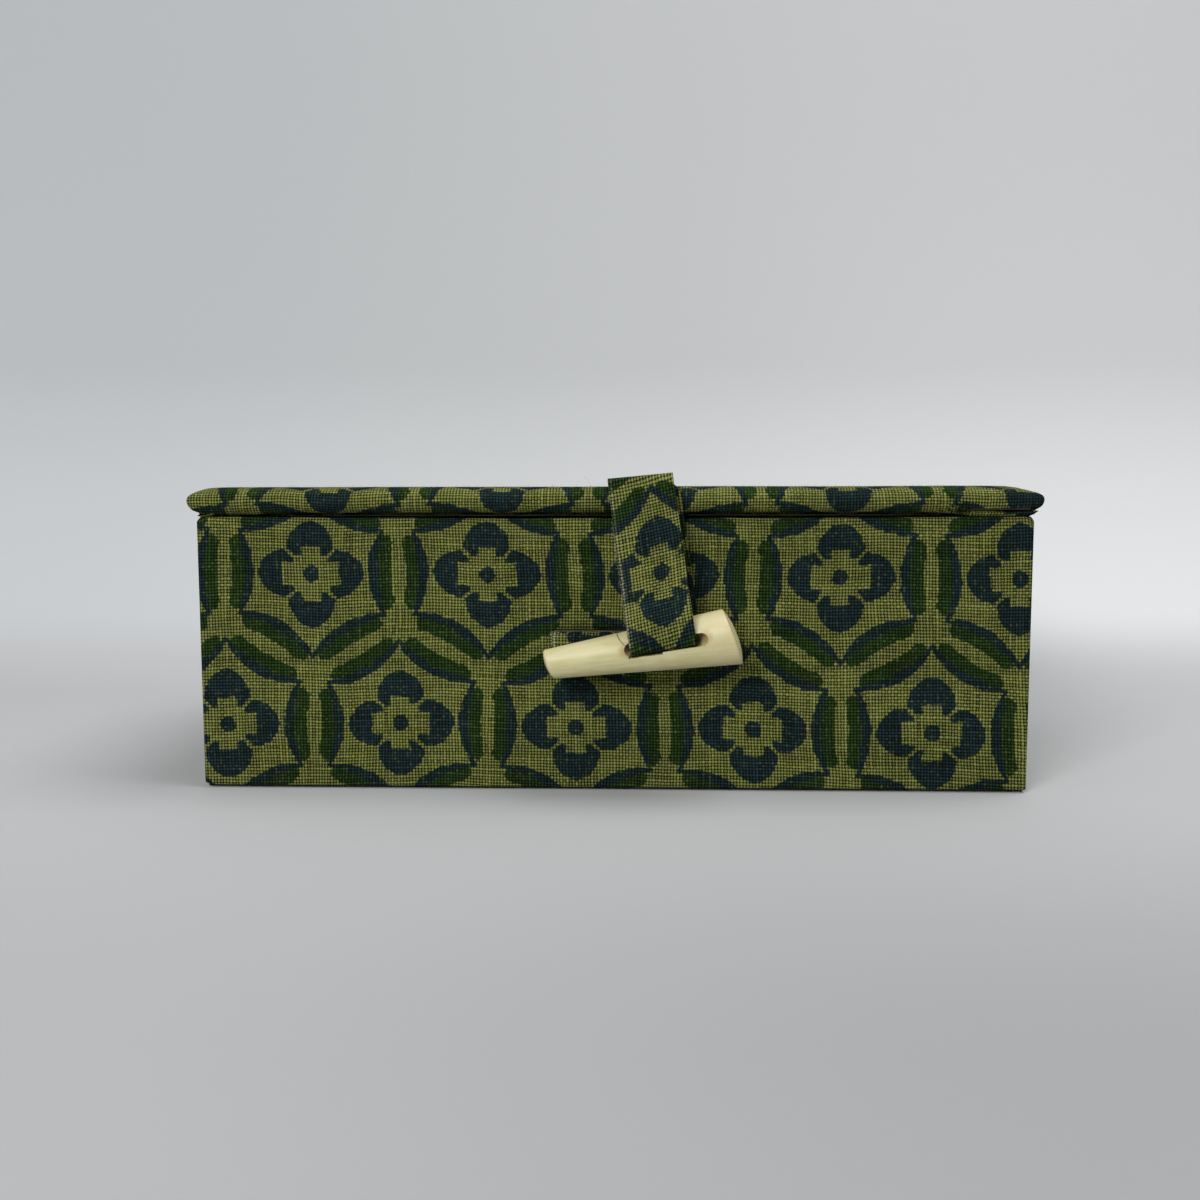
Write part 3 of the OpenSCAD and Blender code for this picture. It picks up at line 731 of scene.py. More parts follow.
def lid_point(gx, gy, level_of):
    """Where a point of the flat grid lies, by its place on the flat top or its row round the nose."""
    ex, ey = max(0.0, abs(gx) - (LID_W - PLATEAU)), max(0.0, abs(gy) - (LID_D - PLATEAU))
    sx, sy = math.copysign(1, gx), math.copysign(1, gy)
    if max(ex, ey) < 1e-6:
        edge = min((LID_W - PLATEAU) - abs(gx), (LID_D - PLATEAU) - abs(gy))
        puff = 0.16 * ripple(gx, gy, 34.0, 5.0) * smooth(edge / 9)
        return gx, LID_MID + gy, LID_TOP + puff - top_sink(gx, gy), None
    on_side = ex >= ey
    row = level_of(max(ex, ey))
    grid_x, grid_y = LID_W - PLATEAU + max(ex, ey), LID_D - PLATEAU + max(ex, ey)
    level, groove = flap_row(row, gx, gy, grid_x, grid_y, on_side)
    side, across = nose_pair(level, sx, sy)
    reach_x, reach_y = LID_W - side[0], LID_D - across[0]
    if on_side:
        x, y = sx * reach_x, gy * reach_y / grid_y
    else:
        x, y = gx * reach_x / grid_x, sy * reach_y
    from_tip = LID_W - abs(x)
    near = smooth(1 - (from_tip - side[0]) / 9.0) if not on_side else 1.0
    z = across[1] + (side[1] - across[1]) * near
    cx, cy = abs(x) - (LID_W - side[0] - CORNER_R), abs(y) - (LID_D - across[0] - CORNER_R)
    if cx > 0 and cy > 0:
        pull = CORNER_R / math.hypot(cx, cy)
        x, y = sx * (abs(x) - cx + cx * pull), sy * (abs(y) - cy + cy * pull)
    clear = smooth((7.0 - (side[0] if on_side else across[0])) / 3)
    past_tip = level - NOSE_ROWS * tip_share
    if past_tip > 0:
        start, fade = (14, 8) if sx < 0 or sy > 0 else (19, 6)
        low = smooth(1 - (from_tip - start) / fade) * smooth((abs(y) - (LID_D - 24)) / 5)
        z -= LOW_LIP * low * clear * smooth(past_tip / 8)
    if groove:
        tuck, below = CREASE[min(row - CREASE_ROW, len(CREASE)) - 1]
        z -= below * groove * clear * smooth((NOSE_ROWS - row) / 12)
        y += tuck * groove * smooth((NOSE_ROWS - row) / 8) * (1.0 if not on_side else 0.4)
        if from_tip < 3:
            x -= sx * tuck * groove * 0.8 * (1 - from_tip / 3)
    z -= top_sink(x, y) * max(0.0, min(1.0, (z - 66.9) / 3.3))
    return x, LID_MID + y, z, (on_side, row, level)


def make_lid_cloth():
    grid_step = 0.5
    outs = [(k + 1) * grid_step for k in range(NOSE_ROWS)]
    inner_x, inner_y = LID_W - PLATEAU, LID_D - PLATEAU

    def spread(half, near_end, middle):
        found = [s - half for s in stops(2 * half, (0.0, 2 * half), near_end, middle)]
        return [-half - o for o in reversed(outs)] + found + [half + o for o in outs]
    bm = cloth_grid(spread(inner_x, 0.45, 2.4), spread(inner_y, 0.7, 2.6))
    layer = bm.loops.layers.uv["Cloth"]
    info = {}
    for v in bm.verts:
        x, y, z, ring = lid_point(v.co.x, v.co.y, lambda e: round(e / grid_step))
        v.co = (x, y, z)
        info[v] = ring
    lengths = [w.length for w in noses]
    for face in bm.faces:
        rings = [info[v] for v in face.verts if info[v]]
        middle = face.calc_center_median()
        side_face = bool(rings) and sum(r[0] for r in rings) * 2 > len(rings)
        under_flap = (middle.y < LID_FRONT + 12 and len(rings) == len(face.verts) and not side_face
                      and min(r[1] for r in rings) > CREASE_ROW
                      and LID_W - abs(middle.x) < FLAP_REACH[0 if middle.x < 0 else 1])
        for loop in face.loops:
            co, ring = loop.vert.co, info[loop.vert]
            u, w = co.x, co.y
            if ring:
                past = ring[2] / NOSE_ROWS
                if side_face:
                    k = 0 if middle.x < 0 else 1
                    u = math.copysign(LID_W - PLATEAU + past * lengths[k], middle.x)
                else:
                    k = 2 if middle.y < LID_MID else 3
                    flat_d = LID_D - PLATEAU + past * lengths[k]
                    w = LID_MID + math.copysign(flat_d, middle.y - LID_MID)
                if under_flap:
                    u, w = u + 9.0, w + 14.0
            u -= LEFT_DRAW * (LID_W - u) / (2 * LID_W)
            loop[layer].uv = ((u - LID_FLOWER[0]) * MM, (w - (LID_FRONT + LID_FLOWER[1])) * MM)
    ends = [e for e in bm.edges if e.is_boundary]
    bmesh.ops.holes_fill(bm, edges=ends, sides=0)
    bmesh.ops.recalc_face_normals(bm, faces=bm.faces[:])
    piece = made_piece("lid_cloth", bm, "lid", LINEN, ["lid_cover", "lid_wadding"])
    return piece


make_lid_cloth()

# %% [markdown]
# ## Keeper, strap and hinge cloth
# The keeper, the strap and the hinge are bands that follow a path in section. The keeper
# goes out through one slit and back through the other. The strap is one loop: over the
# lid's edge, down in front of the toggle, back through its slot, and up behind. It hangs at
# a slant, so its rows are sheared, and it turns down at the fold in one fixed shape that
# rides on no body.

# %% Bands of cloth
def band_grid(path, width, origin, fine=0.4, coarse=1.6, columns=22, bends=()):
    """A flat band as wide as width and as long as path."""
    rows = stops(path.length, bends, fine, coarse)
    edges = [width * (k / columns - 0.5) for k in range(columns + 1)]
    return cloth_grid(edges, rows, origin)


def mark_fray(bm, amount):
    """Marks how frayed each point is. The amount is worked out from its place on the flat cloth."""
    layer = bm.verts.layers.float.new("Fray")
    for v in bm.verts:
        v[layer] = amount(v.co.x, v.co.y)


KEEPER_X, KEEPER_W = -5.2, 15.8
keeper_path = Walk(rounded([
    (-46.7, 45.9), (-46.7, 37.1), (-50.55, 37.1), (-51.8, 36.0), (-52.2, 33.6),
    (-52.2, 30.0), (-51.8, 28.4), (-50.55, 27.2), (-46.7, 27.2), (-46.7, 16.3)], 0.7, 4))


def make_keeper():
    corners = ((-46.7, 37.1), (-50.55, 37.1), (-50.55, 27.2), (-46.7, 27.2))
    bends = [keeper_path.nearest(p) for p in corners]
    bm = band_grid(keeper_path, KEEPER_W, (0.6, 7.3), 0.3, 1.2, 26, bends)
    mark_fray(bm, lambda a, s: smooth((-a - KEEPER_W / 2 + 1.3) / 0.9))
    for v in bm.verts:
        a, s = v.co.x, v.co.y
        y, z = keeper_path.at(s)
        loose = smooth((-50.3 - y) / 1.5)
        y -= 0.25 * loose * ripple(a, s, 5.0, 2.0)
        x = KEEPER_X + a + 0.35 * loose * ripple(s, 2.0, 3.0, 8.0)
        v.co = (x, y, z)
    solid_cloth(bm, 0.5)
    piece = made_piece("keeper_band", bm, "box", LINEN, ["keeper_loop"])
    return piece


make_keeper()

# %% Strap
STRAP_X, STRAP_W, STRAP_T, LEAN = 6.95, 14.6, 0.95, math.radians(7.9)
FOLD_Z, FOLD_TILT = 71.4, 0.094
STRAP_FLOWER = (1.9, 20.8)
strap_path = Walk(rounded([
    (-36.9, 68.9), (-37.1, 71.12), (-47.0, 71.2), (-50.7, 71.8), (-53.5, 71.6), (-54.3, 69.0),
    (-54.9, 64.5), (-57.1, 56.0), (-60.3, 46.0), (-62.7, 40.2), (-63.1, 37.6), (-62.5, 35.6),
    (-60.6, 34.85), (-53.2, 34.75), (-51.5, 35.6), (-51.05, 38.0), (-51.1, 50.0), (-52.3, 60.5),
    (-52.75, 65.0), (-52.8, 69.3), (-51.5, 70.5), (-48.6, 70.25), (-37.1, 70.15), (-36.9, 68.9)], 1.0, 5))
fold_reached = strap_path.nearest((-53.6, 71.2))
slot_reached = strap_path.nearest((-60.6, 34.85))


def strap_point(a, s):
    y, z = strap_path.at(s)
    behind = s > slot_reached + 6
    x = STRAP_X + max(0.0, FOLD_Z - z) * math.tan(LEAN) + a
    down = smooth((FOLD_Z - z) / 32)
    tilt = FOLD_TILT + (math.tan(LEAN) - FOLD_TILT) * down
    if z > 66:
        tilt *= smooth((-46 - y) / 5)
    if behind:
        x += 1.35 * smooth((z - 36) / 6) * smooth((70.0 - z) / 1.5 + 0.2)
    z += a * tilt
    if not behind and z < 70 and y < -50:
        y -= 0.22 * ripple(a, s, 7.0, 4.0) + 0.25 * (a / STRAP_W) ** 2
    return x, y, z


def make_strap():
    corners = ((-53.5, 71.6), (-62.5, 35.6), (-51.5, 35.6), (-52.8, 69.3), (-37.1, 71.12))
    bends = [strap_path.nearest(p) for p in corners]
    bm = band_grid(strap_path, STRAP_W, (0.0, 0.0), 0.35, 1.3, 24, bends)
    layer = bm.loops.layers.uv["Cloth"]
    for face in bm.faces:
        for loop in face.loops:
            a, s = loop.vert.co.x, loop.vert.co.y
            down = fold_reached + STRAP_FLOWER[1] - s - a * math.tan(LEAN)
            loop[layer].uv = ((a - STRAP_FLOWER[0]) * MM, down * MM)
    low, high = fold_reached + 12, fold_reached + 36

    def frayed(a, s):
        return smooth((-a - STRAP_W / 2 + 0.9) / 0.6) * (1.0 if low < s < high else 0.35)
    mark_fray(bm, frayed)
    for v in bm.verts:
        v.co = strap_point(v.co.x, v.co.y)
    solid_cloth(bm, STRAP_T)
    piece = made_piece("strap_cloth", bm, None, LINEN, ["strap_tail", "strap_loop"])
    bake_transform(piece)
    return piece


make_strap()
print("strap is", round(strap_path.length, 1), "mm long")

# %% Hinge cloth and its lining
HINGE_W, HINGE_LINING_W = 184.0, 175.2
hinge_path = Walk(rounded([
    (50.35, 43.5), (50.35, 63.3), (50.3, 64.4), (50.42, 66.6), (50.3, 67.6), (49.5, 68.7),
    (48.1, 69.3), (45.8, 69.48), (36.2, 69.52)], 0.7, 4))
hinge_lining_path = Walk(rounded([
    (45.45, 48.5), (45.45, 60.4), (46.15, 61.2), (46.2, 63.2), (46.8, 63.68), (49.7, 63.7),
    (50.05, 63.92), (49.7, 64.12), (44.4, 64.12)], 0.35, 3))


def make_hinge_cloth():
    bends = [hinge_path.nearest(p) for p in ((50.35, 63.3), (49.4, 69.5))]
    rows = stops(hinge_path.length, bends, 0.35, 2.0)
    columns = [HINGE_W * (k / 90 - 0.5) for k in range(91)]
    bm = cloth_grid(columns, rows, (-7.0, 12.0))
    mark_fray(bm, lambda a, s: smooth((abs(a) - HINGE_W / 2 + 1.0) / 0.8))
    for v in bm.verts:
        a, s = v.co.x, v.co.y
        y, z = hinge_path.at(s)
        puff = 0.1 * ripple(a, s, 22.0, 3.0)
        v.co = (-a, y + (puff if z < 66 else 0.0), z)
    solid_cloth(bm, 0.42)
    piece = made_piece("hinge_cloth", bm, None, LINEN,
                       ["hinge_cloth_lower", "hinge_cloth_upper"])
    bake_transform(piece)
    return piece


make_hinge_cloth()

# %% [markdown]
# ## Lining, board and paper
# Inside, card panels covered in plain cotton line the walls, the floor and the lid. The
# CAD has them as sharp plates, so each is remade at the same place with its edges eased,
# as cotton drawn round card has them. Cotton has its own finish: a finer weave in cream.

# %% Cotton, board and paper finishes
COTTON_THREAD = 0.42


def plain_cotton():
    r = Recipe("lining_cotton")
    flat = r.scaled(r.node("UVMap", {"uv_map": "Cloth"}).outputs["UV"], 1000.0)
    wander = r.vector("SUBTRACT", r.noise(flat, 0.05, 1.0, colour=True), (0.5, 0.5, 0.5))
    threads = r.scaled(r.vector("ADD", flat, r.scaled(wander, 1.4)), math.pi / COTTON_THREAD)
    u, v, _ = r.parts(threads)
    warp, weft = r.math("ABSOLUTE", r.math("SINE", u)), r.math("ABSOLUTE", r.math("SINE", v))
    height = r.math("MAXIMUM", warp, weft)
    slub = r.noise(r.vector("MULTIPLY", flat, (0.08, 2.0, 1.0)), 1.0, 2.0)
    # The threads' crowns are painted lighter and the hollows between them darker, as painted highlight and
    # painted shade
    tone = r.mix(r.step(height, 0.55, 0.95), paint(170, 158, 132), paint(226, 217, 196))
    tone = r.mix(r.step(slub, 0.45, 0.75, 0.0, 0.5), tone, paint(236, 228, 208))
    aged = r.noise(flat, 0.018, 4.0)
    tone = r.mix(r.step(aged, 0.45, 0.72, 0.0, 0.35), tone, paint(198, 180, 142))
    return r.finish(tone, height, 0.00005, 0.9, Specular_IOR_Level=0.15, Sheen_Weight=0.1)


def pressed_board(name, dark, light, fleck):
    r = Recipe(name)
    place = r.scaled(r.node("TexCoord").outputs["Object"], 1000.0)
    pulp = r.noise(r.vector("MULTIPLY", place, (1.0, 1.0, 4.0)), 0.9, 5.0)
    specks = r.step(r.noise(place, 2.7, 3.0), 0.63, 0.7)
    tone = r.mix(specks, r.mix(pulp, dark, light), fleck)
    return r.finish(tone, r.math("ADD", pulp, specks), 0.00004, 0.95, Specular_IOR_Level=0.1)


COTTON = plain_cotton()
BOARD = pressed_board("grey_board", paint(112, 108, 100), paint(148, 143, 132), paint(86, 80, 70))
BROWN = pressed_board("brown_paper", paint(142, 116, 80), paint(172, 146, 104), paint(110, 84, 54))
BASE_PAPER = pressed_board("base_paper", paint(150, 144, 122), paint(176, 170, 146), paint(120, 112, 88))


# %% Panels with eased edges
def everything(bm):
    return bm.verts[:] + bm.edges[:] + bm.faces[:]


def panel(name, node, body, material, ease=0.28, along="xy"):
    """A thin panel in the place of a CAD node, with eased edges and cloth laid along two axes."""
    low, high = (Vector(c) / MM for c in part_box(node))
    bm = bmesh.new()
    bmesh.ops.create_cube(bm, size=1.0)
    bmesh.ops.scale(bm, vec=high - low, verts=bm.verts[:])
    bmesh.ops.translate(bm, vec=(high + low) / 2, verts=bm.verts[:])
    bmesh.ops.bevel(bm, geom=bm.edges[:], offset=ease, segments=3, profile=0.5, affect="EDGES", material=-1)
    for axis, count in enumerate((high - low)):
        steps = int(count // 24)
        for k in range(1, steps + 1):
            at = low.copy()
            at[axis] += (high - low)[axis] * k / (steps + 1)
            turn = Vector((0, 0, 0))
            turn[axis] = 1
            bmesh.ops.bisect_plane(bm, geom=everything(bm), plane_co=at, plane_no=turn)
    layer = bm.loops.layers.uv.new("Cloth")
    first, second = ("xyz".index(a) for a in along)
    third = 3 - first - second
    for face in bm.faces:
        for loop in face.loops:
            co = loop.vert.co
            loop[layer].uv = ((co[first] + co[third]) * MM, (co[second] + co[third]) * MM)
    bmesh.ops.recalc_face_normals(bm, faces=bm.faces[:])
    return made_piece(name, bm, body, material, [node])


for wall in ("front", "back"):
    panel(wall + "_wall_lining", wall + "_lining", "box", COTTON, along="xz")
for wall in ("left", "right"):
    panel(wall + "_wall_lining", wall + "_lining", "box", COTTON, along="yz")
panel("floor_panel", "floor_lining", "box", COTTON)
panel("lid_panel", "lid_lining", "lid", COTTON)


def make_hinge_lining():
    bends = [hinge_lining_path.nearest(p) for p in ((46.2, 63.2), (50.05, 63.92), (45.45, 60.4))]
    rows = stops(hinge_lining_path.length, bends, 0.15, 2.0)
    bm = cloth_grid([HINGE_LINING_W * (k / 80 - 0.5) for k in range(81)], rows)
    for v in bm.verts:
        y, z = hinge_lining_path.at(v.co.y)
        v.co = (v.co.x, y, z)
    solid_cloth(bm, 0.16)
    piece = made_piece("hinge_lining", bm, None, COTTON,
                       ["hinge_lining_lower", "hinge_lining_upper"])
    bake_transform(piece)
    return piece


make_hinge_lining()

# %% Boards keep their CAD shape and get their finish
boards = [(name + "_board", BOARD) for name in ("base", "front", "back", "left", "right", "lid")]
for name, material in boards + [("corner_stays", BROWN), ("base_cover", BASE_PAPER)]:
    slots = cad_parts[name].data.materials
    slots.clear()
    slots.append(material)

# %% [markdown]
# ## The bone toggle
# The toggle is turned from bone: a slim taper, both ends sawn at a slant and rubbed round,
# and a slot right through for the strap. It starts as a cone. Flat cuts give the sawn ends
# and draw the slot's outline on front and back, those faces are taken out, and the two
# outlines are bridged to make the slot's walls. A boolean would also work, but it leaves
# slivers where the slot's round ends meet the taper.

# %% Toggle
TOGGLE_L, SLIM_D, THICK_D, SLOT_AT, BODY_DROP = 43.9, 6.6, 13.0, 27.6, 0.95
SPARE_L = 3.0
# How far the slot's ends are slanted inwards at the back
FAR_LEFT, FAR_RIGHT = 3.4, 5.0
NOTCH_FROM, NOTCH_TO, NOTCH_LOW = -8.6, -1.0, -1.95
SLOT_HALF, SLOT_R = 9.3, 1.5
SLANT_SLIM, SLANT_THICK, RISE = math.radians(11.5), math.radians(11.5), math.radians(8.9)
SLOT_PLACE = Vector((12.621, -57.535, 35.795))


def sawn_end(bm, at, slant, side):
    """Cuts the end off at a slant, closes it, eases its edge and domes it a little."""
    d = THICK_D if side > 0 else SLIM_D
    point = Vector((at, 0, -d / 2 if side > 0 else d / 2))
    normal = Vector((math.cos(slant), 0, math.sin(slant))) * side
    bmesh.ops.bisect_plane(bm, geom=everything(bm), plane_co=point, plane_no=normal, clear_outer=True)
    rim = [e for e in bm.edges if e.is_boundary]
    cap = bmesh.ops.contextual_create(bm, geom=rim)["faces"]
    bmesh.ops.bevel(bm, geom=list(cap[0].edges), offset=0.55 if side > 0 else 0.7, segments=4, profile=0.5,
                    affect="EDGES", material=-1)
    cap = max((f for f in bm.faces if f.normal.dot(normal) > 0.95), key=lambda f: f.calc_area())
    for share, swell in ((0.16, 0.34), (0.2, 0.26), (0.25, 0.18), (0.35, 0.12), (0.5, 0.05)):
        size = math.sqrt(cap.calc_area() / math.pi)
        bmesh.ops.inset_region(bm, faces=[cap], thickness=size * share, use_even_offset=True)
        bmesh.ops.translate(bm, verts=list(cap.verts), vec=normal * swell * d / THICK_D)


def slot_planes():
    """Points and directions of the flat cuts round the slot's outline, in the toggle's own plane."""
    straight = SLOT_HALF - SLOT_R
    for k in range(16):
        angle = math.radians(22.5 * k)
        out = Vector((math.cos(angle), 0, math.sin(angle)))
        middle = Vector((math.copysign(straight, out.x) if abs(out.x) > 1e-6 else 0, 0, 0))
        yield middle + out * SLOT_R, out


def make_toggle():
    bm = bmesh.new()
    bmesh.ops.create_cone(bm, cap_ends=False, segments=80, radius1=SLIM_D / 2, radius2=THICK_D / 2,
                          depth=TOGGLE_L + 2 * SPARE_L)
    # The ring's points are shifted a little round the cone, so that none lies on a later cut
    shift = (THICK_D - SLIM_D) / TOGGLE_L * SPARE_L / 2
    for v in bm.verts:
        v.co.x *= 1 + math.copysign(shift, v.co.z) / math.hypot(v.co.x, v.co.y)
    bmesh.ops.rotate(bm, verts=bm.verts[:], cent=(0, 0, 0), matrix=Matrix.Rotation(math.pi / 2, 3, "Y"))
    bmesh.ops.translate(bm, verts=bm.verts[:], vec=(TOGGLE_L / 2 - SLOT_AT, 0, 0))
    for v in bm.verts:
        r = (SLIM_D + (THICK_D - SLIM_D) * (v.co.x + SLOT_AT) / TOGGLE_L) / 2
        size = math.hypot(v.co.y, v.co.z)
        v.co.y, v.co.z = v.co.y * r / size, v.co.z * r / size
    for x in range(-24, 14, 3):
        bmesh.ops.bisect_plane(bm, geom=everything(bm), plane_co=(x, 0, 0), plane_no=(1, 0, 0))
    sawn_end(bm, -SLOT_AT, SLANT_SLIM, -1)
    sawn_end(bm, TOGGLE_L - SLOT_AT, SLANT_THICK, 1)
    bmesh.ops.translate(bm, verts=bm.verts[:], vec=(0, 0, -BODY_DROP))

    def cut_near(point, out, front_only):
        near = [f for f in bm.faces if abs(f.calc_center_median().x) < SLOT_HALF + 3
                and not (front_only and f.calc_center_median().y >= 0)]
        edges = {e for f in near for e in f.edges}
        verts = {v for f in near for v in f.verts}
        bmesh.ops.bisect_plane(bm, geom=list(verts) + list(edges) + near, plane_co=point, plane_no=out)
    planes = list(slot_planes())
    for point, out in planes:
        cut_near(point, out, False)
    for x in (NOTCH_FROM, NOTCH_TO):
        cut_near(Vector((x, 0, 0)), Vector((1, 0, 0)), True)
    cut_near(Vector((0, 0, NOTCH_LOW)), Vector((0, 0, 1)), True)

    def in_slot(c):
        return all((c - point).dot(out) < 1e-5 for point, out in planes)

    def in_notch(c):
        return c.y < 0 and NOTCH_FROM < c.x < NOTCH_TO and NOTCH_LOW < c.z < -1.0
    cut = [f for f in bm.faces if in_slot(f.calc_center_median()) or in_notch(f.calc_center_median())]
    bmesh.ops.delete(bm, geom=cut, context="FACES")
    rims = [e for e in bm.edges if e.is_boundary]
    print("slot rims have", len(rims), "edges after taking out", len(cut), "faces")
    bmesh.ops.bridge_loops(bm, edges=rims)
    for v in {v for e in rims for v in e.verts}:
        if v.co.y > 0:
            v.co.x -= FAR_RIGHT * smooth((v.co.x - 5) / 2) - FAR_LEFT * smooth((-v.co.x - 5) / 2)
        if v.co.y < 0 and v.co.z < -1.2:
            v.co.z += 0.16 * ripple(v.co.x, 0.0, 0.7, 6.0)
    for face in bm.faces:
        face.smooth = True
    bmesh.ops.recalc_face_normals(bm, faces=bm.faces[:])
    for e in rims:
        e.smooth = False
    turn = Matrix.Rotation(-RISE, 3, "Y")
    bmesh.ops.rotate(bm, verts=bm.verts[:], cent=(0, 0, 0), matrix=turn)
    bmesh.ops.translate(bm, verts=bm.verts[:], vec=SLOT_PLACE)
    return made_piece("bone_toggle", bm, "toggle", BONE, ["toggle"])


# %% Bone
def bone_place(along, around=0.0):
    """A point of the toggle's front in metres, by its distance along the axis from the slot's middle."""
    local = Vector((along, -4.6, around))
    return tuple((Matrix.Rotation(-RISE, 3, "Y") @ local + SLOT_PLACE) * MM)


def bone_finish():
    r = Recipe("bone")
    place = r.node("TexCoord").outputs["Object"]
    centred = r.node("Mapping", {"vector_type": "POINT"}, Vector=place)
    centred.inputs["Rotation"].default_value = (0, RISE, 0)
    turned = Matrix.Rotation(RISE, 3, "Y") @ (SLOT_PLACE * MM)
    centred.inputs["Location"].default_value = -turned
    local = r.scaled(centred.outputs[0], 1000.0)
    x, y, z = r.parts(local)
    grain = r.noise(r.joined(r.math("MULTIPLY", x, 0.12), y, z), 1.5, 4.0)
    cloud = r.noise(local, 0.13, 2.0)
    tone = r.mix(r.step(grain, 0.3, 0.75), paint(202, 193, 140), paint(214, 207, 160))
    tone = r.mix(r.step(cloud, 0.4, 0.7, 0.0, 0.6), tone, paint(216, 207, 166))
    tone = r.mix(r.step(x, 4.0, 14.0, 0.0, 0.35), tone, paint(218, 201, 160))
    scratches = r.noise(r.joined(r.math("MULTIPLY", x, 2.5), y, r.math("MULTIPLY", z, 0.4)), 1.8, 2.0)
    stain_at = r.math("MINIMUM", r.vector("DISTANCE", place, bone_place(-8.7, 0.1)),
                      r.vector("DISTANCE", place, bone_place(8.9, 0.3)))
    uneven = r.math("MULTIPLY", r.noise(local, 0.9, 2.0), 0.0012)
    stain = r.step(r.math("ADD", stain_at, uneven), 0.0030, 0.0012)
    tone = r.mix(r.math("MULTIPLY", stain, 0.75), tone, paint(168, 138, 84))
    dot = r.step(r.vector("DISTANCE", place, bone_place(-12.9, 2.35)), 0.00032, 0.00014)
    tone = r.mix(dot, tone, paint(112, 84, 48))
    bow = r.math("ADD", r.math("MULTIPLY", r.math("POWER", r.math("SUBTRACT", z, 4.6), 2.0), 0.13), -10.6)
    crack = r.math("ABSOLUTE", r.math("SUBTRACT", x, bow))
    in_crack = r.math("MULTIPLY", r.step(crack, 0.16, 0.06),
                      r.math("MULTIPLY", r.step(z, 0.9, 1.3), r.math("LESS_THAN", y, -0.5)))
    tone = r.mix(r.math("MULTIPLY", in_crack, 0.85), tone, paint(62, 46, 26))
    rub_x, rub_y, rub_z = bone_place(13.4, 0.6)
    rub = r.vector("DISTANCE", r.vector("MULTIPLY", place, (0.6, 1.0, 1.0)), (rub_x * 0.6, rub_y, rub_z))
    red = r.math("MULTIPLY", r.step(rub, 0.0011, 0.0002), r.step(r.noise(local, 1.9, 2.0), 0.5, 0.62))
    tone = r.mix(r.math("MULTIPLY", red, 0.5), tone, paint(196, 92, 62))
    relief = r.math("SUBTRACT", r.math("ADD", grain, r.math("MULTIPLY", scratches, 0.4)), in_crack)
    return r.finish(tone, relief, 0.000018, 0.42, Subsurface_Weight=0.12, Subsurface_Radius=(0.9, 0.6, 0.35),
                    Subsurface_Scale=0.0015, Specular_IOR_Level=0.4)


BONE = bone_finish()
make_toggle()

# %% [markdown]
# ## Loose fibres
# Worn linen is furry. Short ends stand up along the lid's edges and the strap's cut side,
# and a few long hairs curl above. Each is a three-sided tube of a few faces, drawn out from
# a tiny triangle and thinner at its tip. Hair particles would look the same, but the
# export keeps only meshes.

# %% Fibres
FIBRE = Recipe("loose_fibre")
FIBRE.finish(FIBRE.mix(FIBRE.noise(FIBRE.node("TexCoord").outputs["Object"], 900.0), paint(150, 146, 96),
                       paint(206, 202, 176)), None, 0.0, 0.8, Specular_IOR_Level=0.2)
chance = random.Random(7)
FUZZ_R, HAIR_R, TIP_SHARE = 0.025, 0.03, 0.4


def chance_way():
    return Vector((chance.uniform(-1, 1), chance.uniform(-1, 1), chance.uniform(-1, 1)))


def grow_fibre(bm, root, way, length, thickness, curl, joints=4):
    """Draws one fibre out of a small triangle."""
    way = Vector(way).normalized()
    turn = way.to_track_quat("Z", "Y").to_matrix().to_4x4()
    ring = bmesh.ops.create_circle(bm, cap_ends=False, segments=3, radius=thickness,
                                   matrix=Matrix.Translation(root) @ turn)["verts"]
    edges = list({e for v in ring for e in v.link_edges})
    bend = chance_way() * curl
    for k in range(joints):
        way = (way + bend * (2.4 + 1.2 * k) / joints + Vector((0, 0, -0.05 * k))).normalized()
        edges, verts = drawn_edge(bm, edges, way * length / joints)
        middle = sum((v.co for v in verts), Vector()) / len(verts)
        for v in verts:
            v.co = middle + (v.co - middle) * TIP_SHARE ** (1 / joints)


def fibres(name, body, roots, thickness=FUZZ_R, curl=0.55, joints=4):
    bm = bmesh.new()
    for root, way, length in roots:
        grow_fibre(bm, Vector(root), way, length, thickness, curl, joints)
    return made_piece(name, bm, body, FIBRE.material)


def leaning(way, spread):
    return Vector(way) + chance_way() * spread


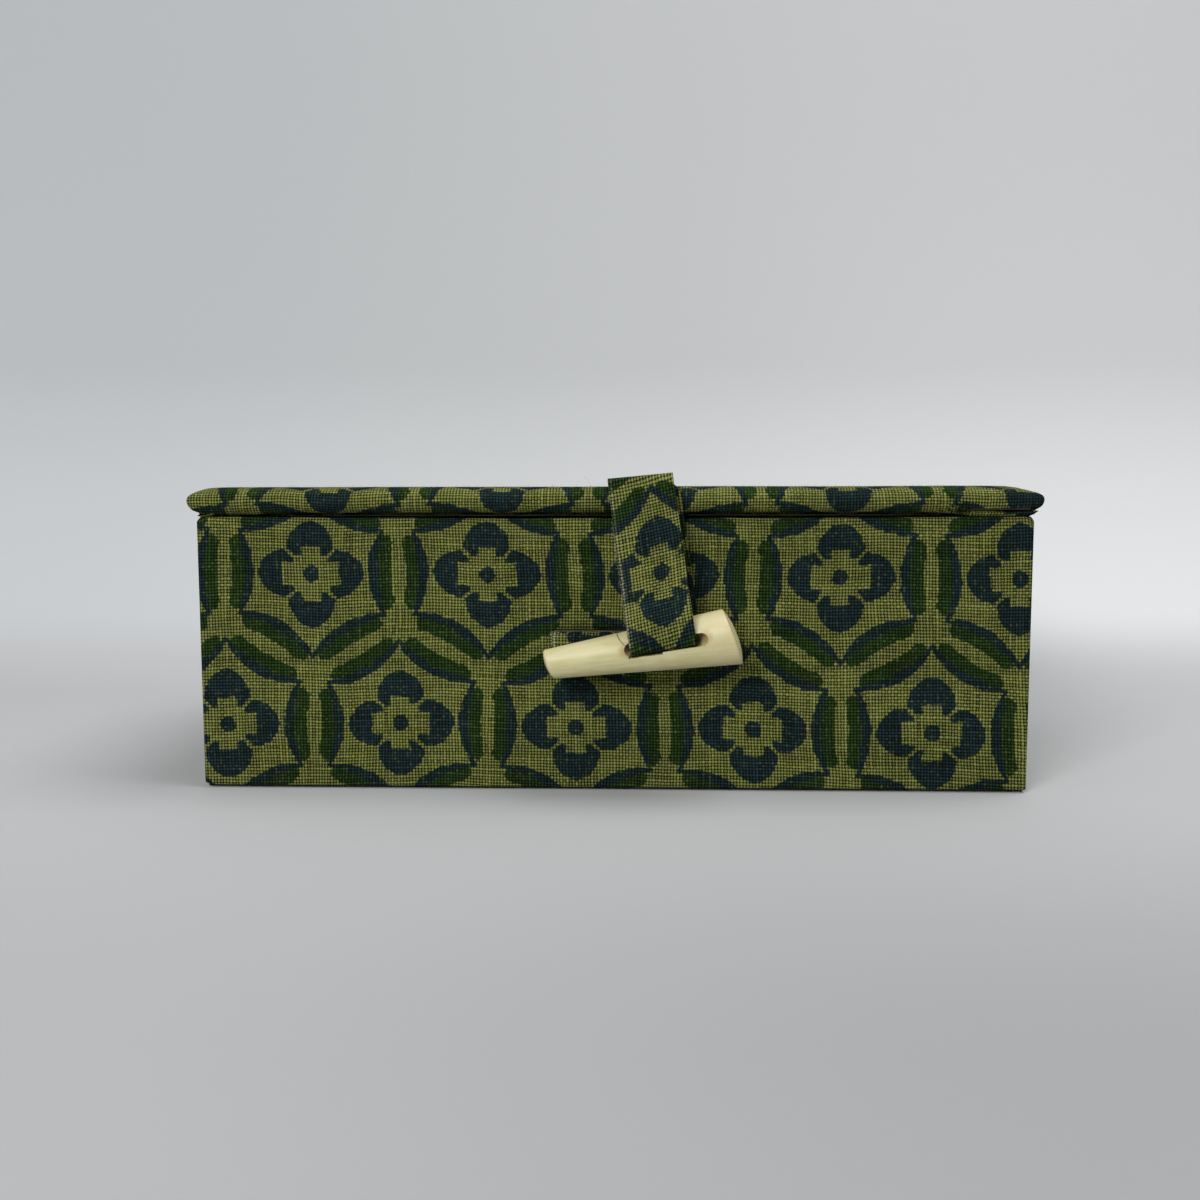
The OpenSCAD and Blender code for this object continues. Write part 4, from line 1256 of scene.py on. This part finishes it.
def lid_roots(count):
    for _ in range(count):
        x = chance.uniform(-90, 90)
        root = (x, chance.uniform(-47.5, -43.0), LID_TOP - 0.05)
        yield root, leaning((0, -0.2, 1), 0.8), chance.uniform(0.3, 1.1)
    for side in (-1, 1):
        for _ in range(count // 9):
            share = chance.uniform(0.1, 0.85)
            d, z = noses[0 if side < 0 else 1].at(share * noses[0].length * 0.8)
            y = chance.uniform(LID_FRONT + 1.0, LID_FRONT + 9.0)
            root = (side * (LID_W - d - 0.4), y, z)
            yield root, leaning((side, -0.3, 0.5), 0.7), chance.uniform(0.25, 0.9)


def strap_roots(count):
    for _ in range(count):
        s = fold_reached + chance.uniform(8, 35)
        x, y, z = strap_point(-STRAP_W / 2, s)
        yield (x, y, z), leaning((-1, -0.3, 0), 0.7), chance.uniform(0.3, 0.9)
    for _ in range(count // 3):
        across = chance.uniform(-STRAP_W / 2, STRAP_W / 2)
        x, y, z = strap_point(across, fold_reached - chance.uniform(0, 2))
        yield (x, y, z + 0.4), leaning((0, 0, 1), 0.7), chance.uniform(0.3, 1.0)


def keeper_roots(count):
    for _ in range(count):
        s = chance.uniform(0.3, 0.72) * keeper_path.length
        y, z = keeper_path.at(s)
        side = -1 if chance.random() < 0.75 else 1
        root = (KEEPER_X + side * KEEPER_W / 2, y, z)
        yield root, leaning((side, -0.4, 0), 0.8), chance.uniform(0.4, 1.3)


# Stray hairs that stand up from the lid: root, way and length
LONG_HAIRS = (((-4.4, -46.0, 69.9), (-0.25, -0.1, 1.0), 8.0), ((-2.0, -47.0, 69.9), (0.5, 0.0, 0.9), 5.0),
              ((9.4, -44.0, 71.2), (0.9, -0.2, 0.5), 5.0), ((-60.0, -46.5, 69.9), (0.8, 0.0, 0.7), 3.4),
              ((43.0, -46.5, 69.9), (-0.7, 0.0, 0.8), 3.0))
fibres("lid_fibres", "lid", lid_roots(620))
fibres("strap_fibres", "strap", strap_roots(170))
fibres("keeper_fibres", "box", keeper_roots(90))
fibres("long_hairs", "lid", LONG_HAIRS, HAIR_R, 0.4, 10)
